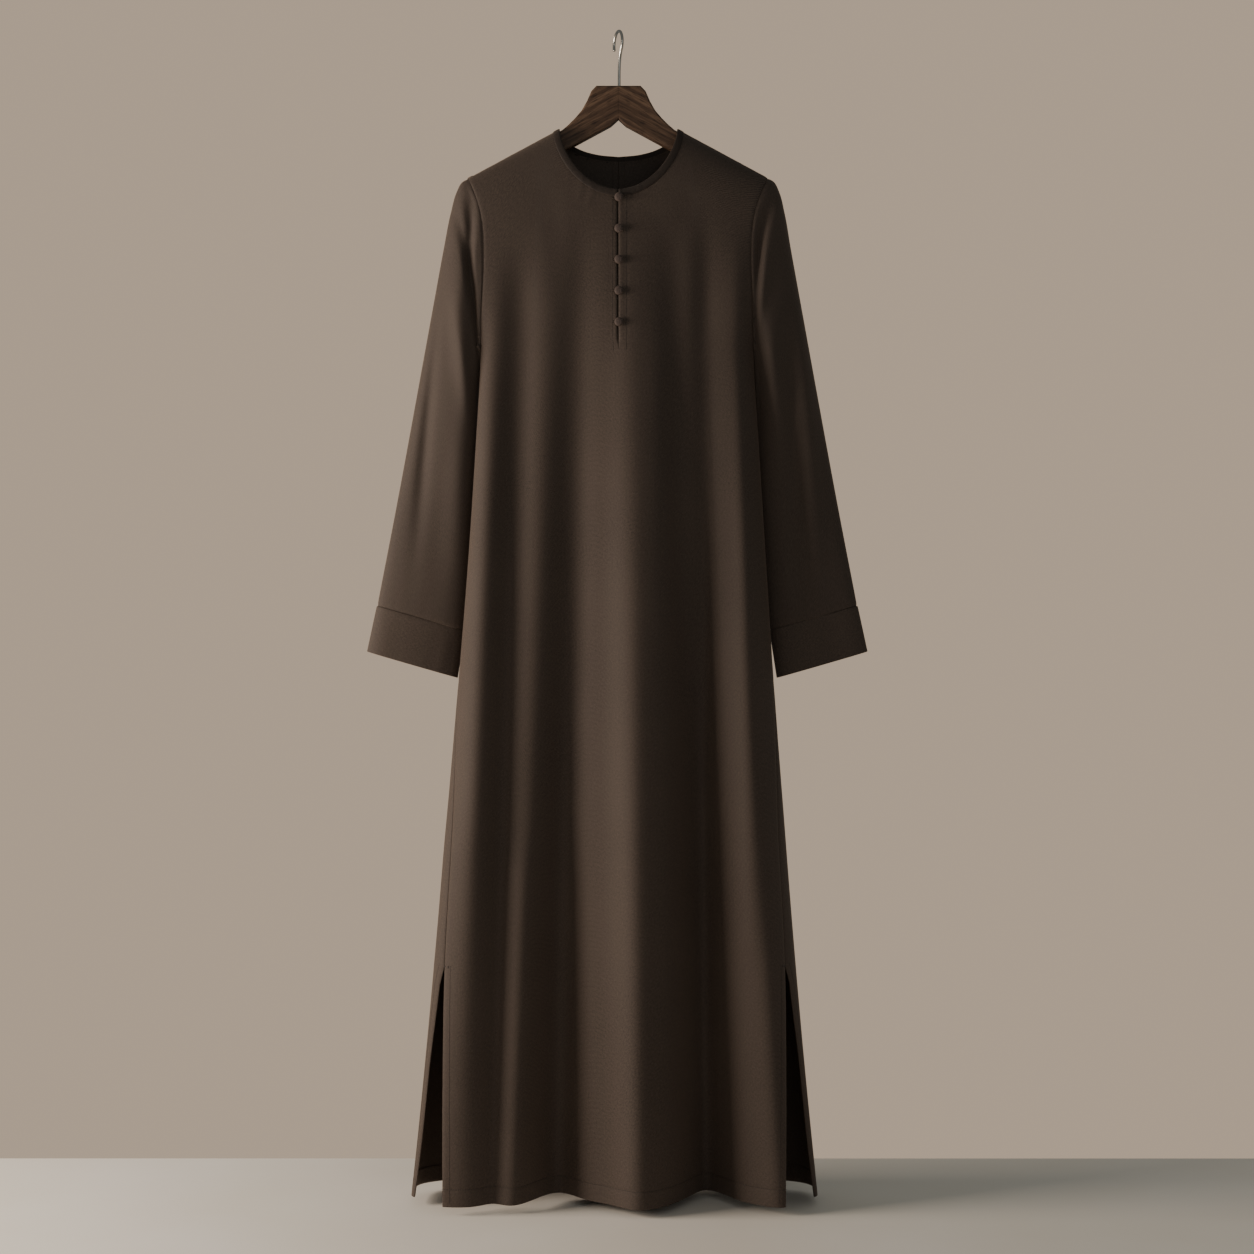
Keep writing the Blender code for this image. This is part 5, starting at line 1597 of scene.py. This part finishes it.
@dataclass(frozen=True)
class NeckBinding:
    """A bias strip folded round the neck's edge, from one side of the slit to the other.

    Attributes:
        form: The body's form.
        width: The strip's width as sewn.
        proud: How far it stands above the cloth.
        wall: Its thickness with all its layers.
        closer: How much closer its stations lie towards the shoulders at first.
        shoulder: How near to the shoulder's point the strip is led over it.
        edge_power: How squarely its edges are folded.
        end_round: How far past its end it is rounded, and over what length.
        wave: Height, pitch and start of its waves.
        cut: Width and length of the strip's cut.
    """

    form: BodyForm = field(default_factory=BodyForm)
    width: float = 0.0100
    proud: float = 0.0011
    wall: float = 0.0026
    points: int = 9
    steps: int = 700
    closer: float = 2.2
    shoulder: float = 0.0001
    stations: int = 300
    around: int = 22
    edge_power: float = 0.6
    end_round: tuple[float, float] = (0.0002, 0.0016)
    wave: tuple[float, float, float] = (0.00012, 0.011, 2.0)
    cut: tuple[float, float] = (0.0118, 0.480)

    def strip(self) -> Array:
        """Points across the strip, at even steps from one end to the other."""
        form, across = self.form, np.linspace(0.0, 1.0, self.points)
        rise = 1.0 - (1.0 - np.linspace(0.0, 1.0, self.steps)) ** self.closer
        parts = []
        for side, face in zip(
            (Side.LEFT, Side.LEFT, Side.RIGHT, Side.RIGHT),
            (Face.FRONT, Face.BACK, Face.BACK, Face.FRONT),
            strict=True,
        ):
            base, out = walk(NECK[face], rise), form.neck_out(face, rise)
            flat = base[:, None] + out[:, None] * self.width * across[None, :, None]
            if face is Face.FRONT:
                flat[0, :, 0] = form.placket_half
            placed = form.place(face, flat[..., 0] * side.value, flat[..., 1])
            placed[base[:, 0] > NECK[face][-1][0] - self.shoulder, :, 1] = 0.0
            placed = placed[::-1] if len(parts) % 2 else placed
            parts.append(placed if not parts else placed[1:])
        chain = np.concatenate(parts)
        along = distances(chain[:, self.points // 2])
        at = np.linspace(0.0, along[-1], self.stations)
        return between(along, chain.reshape(len(chain), -1), at).reshape(-1, self.points, 3)

    def build(self, dye: bpy.types.Material) -> bpy.types.Object:
        """Builds the strip as a closed band with rounded edges and ends."""
        strip = self.strip()
        normal = unit(np.cross(np.gradient(strip, axis=0), np.gradient(strip, axis=1)))
        if normal[2, self.points // 2, 1] > 0:
            normal = -normal
        angle = np.linspace(0.0, 2 * math.pi, self.around, endpoint=False)
        share = (1 - np.cos(angle)) / 2
        swell = np.sign(np.sin(angle)) * np.abs(np.sin(angle)) ** self.edge_power
        past, end = self.end_round
        rise, pitch, seed = self.wave
        places = np.linspace(0.0, 1.0, self.points)
        rings = []
        for row, up, at in zip(strip, normal, np.linspace(0.0, 1.0, len(strip)), strict=True):
            reach = min(at, 1.0 - at) * self.cut[1]
            round_end = math.sqrt(min(1.0, (reach + past) / end))
            point, raised = between(places, row, share), between(places, up, share)
            wave = rise * uneven_wave(np.array(at * self.cut[1]), pitch, seed)
            height = self.proud + self.wall / 2 * (swell * round_end - 1)
            height = height + wave * np.maximum(swell, 0)
            rings.append(point + raised * height[:, None])
        mesh = made_mesh("neck_binding_cloth", [Grid(np.array(rings), closed=True)])
        shape = bmesh.new()
        shape.from_mesh(mesh)
        bmesh.ops.holes_fill(shape, edges=[e for e in shape.edges if e.is_boundary], sides=0)
        bmesh.ops.recalc_face_normals(shape, faces=shape.faces)
        shape.to_mesh(mesh)
        shape.free()
        made = report(put("neck_binding_cloth", mesh, dye), "binding", "neck_binding")
        return made


@dataclass(frozen=True)
class FrontClosure:
    """Five covered buttons on the right of the slit, in loops from its left.

    Attributes:
        form: The body's form.
        top: Height of the highest button.
        pitch: Distance between buttons.
        across: Where they stand, to the right of the middle.
        span: Half the height over which the front's slope is read.
        first_lift: How much further out the highest one sits, over the binding.
        under: Shares of the radius at which the head's underside has rings.
        head_turn: Angle over which the head's edge turns under.
        head_waist: Share of the head's height where it is widest.
        rim: Share of the radius by which the edge turns in.
        crown: How full the head is.
        pleats: How many pleats the covering has, and how they wander.
        pleat_depths: Depth of the pleats under the head, at its edge and on its crown.
        crown_start: Angle at which the edge's pleats end.
        roll: Turn from one button's pleats to the next one's.
        loop_side: Points of a loop's side: distance before the button, and share of its
            half width.
    """

    form: BodyForm = field(default_factory=BodyForm)
    top: float = -0.2310
    pitch: float = 0.0422
    count: int = 5
    across: float = 0.0007
    span: float = 0.004
    radius: float = 0.0060
    seat: float = 0.0003
    first_lift: float = 0.0008
    shank_radius: float = 0.0016
    shank_height: float = 0.0018
    shank_rings: Row = (0.0, 0.5, 0.95)
    head_height: float = 0.0038
    under: Row = (0.35, 0.55, 0.72, 0.86)
    under_rise: float = 0.00008
    head_rings: int = 17
    head_turn: float = 0.95
    head_waist: float = 0.30
    rim: float = 0.20
    crown: float = 0.72
    crown_start: float = 0.35
    pleats: tuple[int, float, int] = (15, 0.7, 4)
    pleat_depths: Row = (0.00010, 0.00009, 0.00002)
    roll: float = 0.7
    sides: int = 48
    loop_wire: float = 0.00065
    loop_half: float = 0.0027
    loop_lift: float = 0.0009
    loop_bend: int = 14
    loop_side: tuple[Row, ...] = (
        (0.0094, 0.45),
        (0.0078, 0.50),
        (0.0062, 0.56),
        (0.0045, 0.70),
        (0.0030, 0.90),
    )

    def seat_of(self, number: int) -> tuple[Vector, Vector, Vector]:
        """Where a button or loop sits, with the upward and outward directions there."""
        height = self.top - self.pitch * number
        heights = np.array([height, height + self.span, height - self.span])
        base, above, below = self.form.place(Face.FRONT, np.full(3, self.across), heights)
        up = Vector(above - below).normalized()
        out = Vector((1, 0, 0)).cross(up).normalized()
        return Vector(base) + out * (0.0 if number else self.first_lift), up, out

    def head(self) -> list[Array]:
        """Rings of a covered button from its shank to its crown."""
        low, high = self.shank_height, self.head_height
        deep, edge, fine = self.pleat_depths
        rings = [(self.shank_radius, rise * low, 0.0) for rise in self.shank_rings]
        for share in self.under:
            rings.append((self.radius * share, low + self.under_rise * (1 - share), deep))
        for angle in np.linspace(-self.head_turn, math.pi / 2, self.head_rings)[:-1]:
            if angle < 0:
                wide = 1 - self.rim + self.rim * math.cos(angle)
                tall = self.head_waist * (1 + math.sin(angle) / math.sin(self.head_turn))
            else:
                wide = math.cos(angle) ** self.crown
                tall = self.head_waist + (1 - self.head_waist) * math.sin(angle)
            tuck = edge if angle < self.crown_start else fine
            rings.append((self.radius * wide, low + high * tall, tuck))
        turn = np.linspace(0.0, 2 * math.pi, self.sides, endpoint=False)
        count, swing, wander = self.pleats
        pleat = np.cos(turn * count + swing * np.sin(turn * wander))
        made = []
        for wide, tall, tuck in rings:
            reach = wide + tuck * pleat
            flat = [reach * np.cos(turn), reach * np.sin(turn), np.full(self.sides, tall)]
            made.append(np.stack(flat, axis=-1))
        return made

    def button(self, number: int, dye: bpy.types.Material) -> bpy.types.Object:
        """Builds one covered button."""
        base, up, out = self.seat_of(number)
        shape = bmesh.new()
        rows = [[shape.verts.new(point) for point in ring.tolist()] for ring in self.head()]
        crown = shape.verts.new((0.0, 0.0, self.shank_height + self.head_height))
        foot = shape.verts.new((0.0, 0.0, 0.0))
        following = [(k, (k + 1) % self.sides) for k in range(self.sides)]
        for low, high in zip(rows, rows[1:], strict=False):
            for k, n in following:
                shape.faces.new((low[k], low[n], high[n], high[k]))
        for k, n in following:
            shape.faces.new((rows[-1][k], rows[-1][n], crown))
            shape.faces.new((rows[0][n], rows[0][k], foot))
        turn = Matrix((Vector((1, 0, 0)), up, out)).transposed().to_4x4()
        turn = Matrix.Translation(base + out * self.seat) @ turn
        shape.transform(turn @ Matrix.Rotation(self.roll * number, 4, "Z"))
        mesh = bpy.data.meshes.new(f"covered_button_{number + 1}")
        shape.to_mesh(mesh)
        shape.free()
        mesh.shade_smooth()
        return report(put(mesh.name, mesh, dye), "button", f"button_{number + 1}")

    def loop(self, number: int, dye: bpy.types.Material) -> bpy.types.Object:
        """Builds one loop of rouleau cord, round the button's shank."""
        base, up, out = self.seat_of(number)
        half, bend = self.loop_half, self.loop_bend
        flat = [(-before, half * share) for before, share in self.loop_side]
        for k in range(bend + 1):
            angle = math.pi / 2 - math.pi * k / bend
            flat.append((half * math.cos(angle), half * math.sin(angle)))
        flat += [(-before, -half * share) for before, share in self.loop_side[::-1]]
        base, right = base + out * self.loop_lift, Vector((1, 0, 0))
        points = [base + right * x + up * z for x, z in flat]
        made = tube(f"rouleau_loop_{number + 1}", points, self.loop_wire, 3)
        made.data.materials.append(dye)
        return report(made, "binding", f"button_loop_{number + 1}")


def tube(name: str, points: list[Vector], radius: float, resolution: int) -> bpy.types.Object:
    """A smooth round tube along points, with rounded ends, as a plain mesh.

    Args:
        name: The piece's name.
        points: The points of its middle line.
        radius: Its radius.
        resolution: How finely it is rounded.

    Returns:
        The piece.
    """
    line = bpy.data.curves.new(name, "CURVE")
    line.dimensions = "3D"
    line.bevel_depth = radius
    line.bevel_resolution = resolution
    line.use_fill_caps = True
    rounding, clear = ((0.0, 0.35), (0.25, 0.75), (0.6, 0.95), (1.0, 1.0)), 1.1
    caps = []
    for end, inner in ((points[0], points[1]), (points[-1], points[-2])):
        into = (inner - end).normalized() * radius
        caps.append([(end + into * share, size) for share, size in rounding])
    whole = caps[0]
    for point in points[1:-1]:
        if min((point - points[0]).length, (point - points[-1]).length) > radius * clear:
            whole.append((point, 1.0))
    whole += caps[1][::-1]
    spline = line.splines.new("POLY")
    spline.points.add(len(whole) - 1)
    for corner, (point, share) in zip(spline.points, whole, strict=True):
        corner.co = (*point, 1.0)
        corner.radius = share
    made = baked(linked(name, line))
    made.data.shade_smooth()
    return made


@dataclass(frozen=True)
class Hanger:
    """A walnut hanger in two mitred halves, with a polished wire hook.

    Attributes:
        wire: Radius of the hook's wire.
        inner: Inner radius of its arc.
        turn: How far the hook is turned about its stem.
        middle: Where the arc's middle lies, seen from above.
        front_angle: Angle where the arc starts, in front.
        back_angle: Angle where it ends, behind the rail.
        pull: How straight the bend between stem and arc starts and ends.
        under_lift: How much the underside is hollowed at the joint, below under_top.
        joint: How near to the middle a corner belongs to the joint.
        eased: Width of the edges' rounding, on corners sharper than edge.
    """

    wire: float = 0.0020
    inner: float = 0.0145
    turn: float = math.radians(20)
    middle: tuple[float, float] = (-0.0005, 0.0040)
    front_angle: float = math.radians(-40)
    back_angle: float = math.radians(205)
    pull: float = 0.034
    bend_steps: int = 32
    arc_steps: int = 72
    stem_across: float = 0.0009
    stem_top: float = -0.0600
    stem_straight: float = -0.0840
    stem_end: float = -0.1080
    under_top: float = -0.115
    under_lift: float = 0.0060
    joint: float = 0.0006
    eased: float = 0.0005
    edge: float = math.radians(25)
    flat: float = math.radians(1)

    def hook(self, steel: bpy.types.Material) -> bpy.types.Object:
        """Builds the hook: a stem, a bend forward, and an arc over the rail."""
        forward = Vector((math.sin(self.turn), -math.cos(self.turn), 0.0))
        upward = Vector((0.0, 0.0, 1.0))
        middle, radius = Vector((*self.middle, -self.inner)), self.inner + self.wire
        sweep = self.back_angle - self.front_angle
        arc = []
        for k in range(self.arc_steps + 1):
            angle = self.front_angle + sweep * k / self.arc_steps
            arc.append(middle + radius * (math.cos(angle) * forward + math.sin(angle) * upward))
        leave = math.cos(self.front_angle) * upward - math.sin(self.front_angle) * forward
        stem, low, high = (
            Vector((self.stem_across, 0.0, z))
            for z in (self.stem_top, self.stem_end, self.stem_straight)
        )
        points = [low, high]
        for k in range(self.bend_steps + 1):
            t = k / self.bend_steps
            rise = 3 * t**2 - 2 * t**3
            from_stem = upward * self.pull * (t**3 - 2 * t**2 + t)
            to_arc = leave * self.pull * (t**3 - t**2)
            points.append(stem * (1 - rise) + arc[0] * rise + from_stem + to_arc)
        made = tube("hanger_hook_wire", points + arc[1:], self.wire, 6)
        made.data.materials.append(steel)
        return report(made, "steel", "hanger_hook")

    def arm(self, side: Side, walnut: bpy.types.Material) -> bpy.types.Object:
        """Builds one wooden half, glued to the other, with its edges eased by sanding."""
        name = f"hanger_arm_{side.name.lower()}"
        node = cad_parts[name]
        shape = bmesh.new()
        shape.from_mesh(node.data)
        shape.transform(node.matrix_world)
        bmesh.ops.remove_doubles(shape, verts=shape.verts, dist=SAME_POINT)
        for corner in shape.verts:
            if abs(corner.co.x) < self.joint:
                corner.co.x = 0.0
                corner.co.z += self.under_lift if corner.co.z < self.under_top else 0.0
        faces = {"verts": shape.verts, "edges": shape.edges}
        bmesh.ops.dissolve_limit(shape, angle_limit=self.flat, **faces)
        mesh = bpy.data.meshes.new(f"{name}_wood")
        shape.to_mesh(mesh)
        shape.free()
        made = put(mesh.name, mesh, walnut)
        eased = made.modifiers.new("Eased edges", "BEVEL")
        eased.width = self.eased
        eased.segments = 3
        eased.limit_method = "ANGLE"
        eased.angle_limit = self.edge
        eased.harden_normals = True
        return report(baked(made), "walnut", name)


@dataclass(frozen=True)
class Lamp:
    """A soft lamp: where it stands, what it points at, its size, watts and colour."""

    name: str
    place: tuple[float, float, float]
    aim: tuple[float, float, float]
    size: tuple[float, float]
    power: float
    colour: str


@dataclass(frozen=True)
class Studio:
    """A pale floor, soft light from the upper left, and the photograph's camera."""

    eye: tuple[float, float, float] = (0.01156, -3.0, -0.809)
    lens: float = 63.33
    sensor: float = 36.0
    near: float = 0.05
    floor: float = -1.5905
    floor_back: float = 0.244
    floor_reach: float = 6.0
    sky_seen: str = "#B9A692"
    sky_light: str = "#BCBFBB"
    sky_strength: float = 0.345
    lamps: tuple[Lamp, ...] = (
        Lamp("Key", (-2.32, -0.58, -0.62), (0.0, 0.0, -0.78), (1.2, 0.9), 69.0, "#FFF2E4"),
        Lamp("Fill", (0.8, -3.2, 0.0), (0.0, 0.0, -0.9), (1.8, 1.8), 6.5, "#EAF0F4"),
    )

    def camera(self) -> None:
        """Sets the camera level, looking along +Y."""
        data = bpy.data.cameras.new("Camera")
        data.lens = self.lens
        data.sensor_width = self.sensor
        data.clip_start = self.near
        eye = linked("Camera", data)
        eye.location = self.eye
        eye.rotation_euler = (math.pi / 2, 0.0, 0.0)
        bpy.context.scene.camera = eye

    def ground(self) -> None:
        """Lays the floor."""
        wide, far = self.floor_reach, self.floor_back
        mesh = bpy.data.meshes.new("studio_floor")
        corners = [(-wide, -wide), (wide, -wide), (wide, far), (-wide, far)]
        mesh.from_pydata([(x, y, self.floor) for x, y in corners], [], [(0, 1, 2, 3)])
        put("studio_floor", mesh, StudioFinish().material())

    def lamp(self, lamp: Lamp) -> None:
        """Adds a soft rectangular lamp."""
        data = bpy.data.lights.new(lamp.name, "AREA")
        data.shape = "RECTANGLE"
        data.size, data.size_y = lamp.size
        data.energy = lamp.power
        data.color = linear(lamp.colour)[:3]
        made = linked(lamp.name, data)
        made.location = lamp.place
        made.rotation_euler = (Vector(lamp.aim) - made.location).to_track_quat("-Z", "Y").to_euler()

    def sky(self) -> None:
        """Sets the backdrop's colour, and the colour and strength of its light."""
        world = bpy.data.worlds.new("Studio backdrop")
        world.use_nodes = True
        tree = world.node_tree
        ray = add(tree, "ShaderNodeLightPath").outputs["Is Camera Ray"]
        tones = {"Factor": ray, 6: linear(self.sky_light), 7: linear(self.sky_seen)}
        colour = add(tree, "ShaderNodeMix", tones, data_type="RGBA").outputs[2]
        power = add(tree, "ShaderNodeMapRange", {"Value": ray, "To Min": self.sky_strength, "To Max": 1.0})
        feed(tree, tree.nodes["Background"], {"Color": colour, "Strength": power})
        bpy.context.scene.world = world

    def light(self) -> None:
        """Sets all the lights."""
        for lamp in self.lamps:
            self.lamp(lamp)
        self.sky()


def main() -> None:
    """Builds the abaya on its hanger, piece by piece."""
    logging.basicConfig(level=logging.INFO, format="%(message)s")
    studio = Studio()
    studio.camera()
    studio.ground()
    studio.light()
    crepe = CrepeFinish().material()
    # A darker copy of the crepe for the neck binding and the loops: painted shade on the same cloth as the
    # panels.
    folded = CrepeFinish("Polyester crepe, painted darker as shade", "#241E1A", "#362D28").material()
    # A lighter copy of the crepe for the buttons: painted light on their domed heads.
    covering = CrepeFinish(
        "Polyester crepe, stretched over a button",
        low="#3E3430",
        high="#574A45",
        pebble=0.0014,
        twill=0.0010,
        on_surface=False,
    ).material()
    panels = BodyPanels()
    panels.front(crepe)
    for side in Side:
        panels.back(side, crepe)
    sleeves = Sleeves()
    for side in Side:
        sleeves.sleeve(side, crepe)
        sleeves.cuff(side, crepe)
    NeckBinding().build(folded)
    closure = FrontClosure()
    for number in range(closure.count):
        closure.button(number, covering)
        closure.loop(number, folded)
    sew(panels)
    hanger = Hanger()
    hanger.hook(SteelFinish().material())
    walnut = WalnutFinish().material()
    for side in Side:
        hanger.arm(side, walnut)


if __name__ == "__main__":
    main()
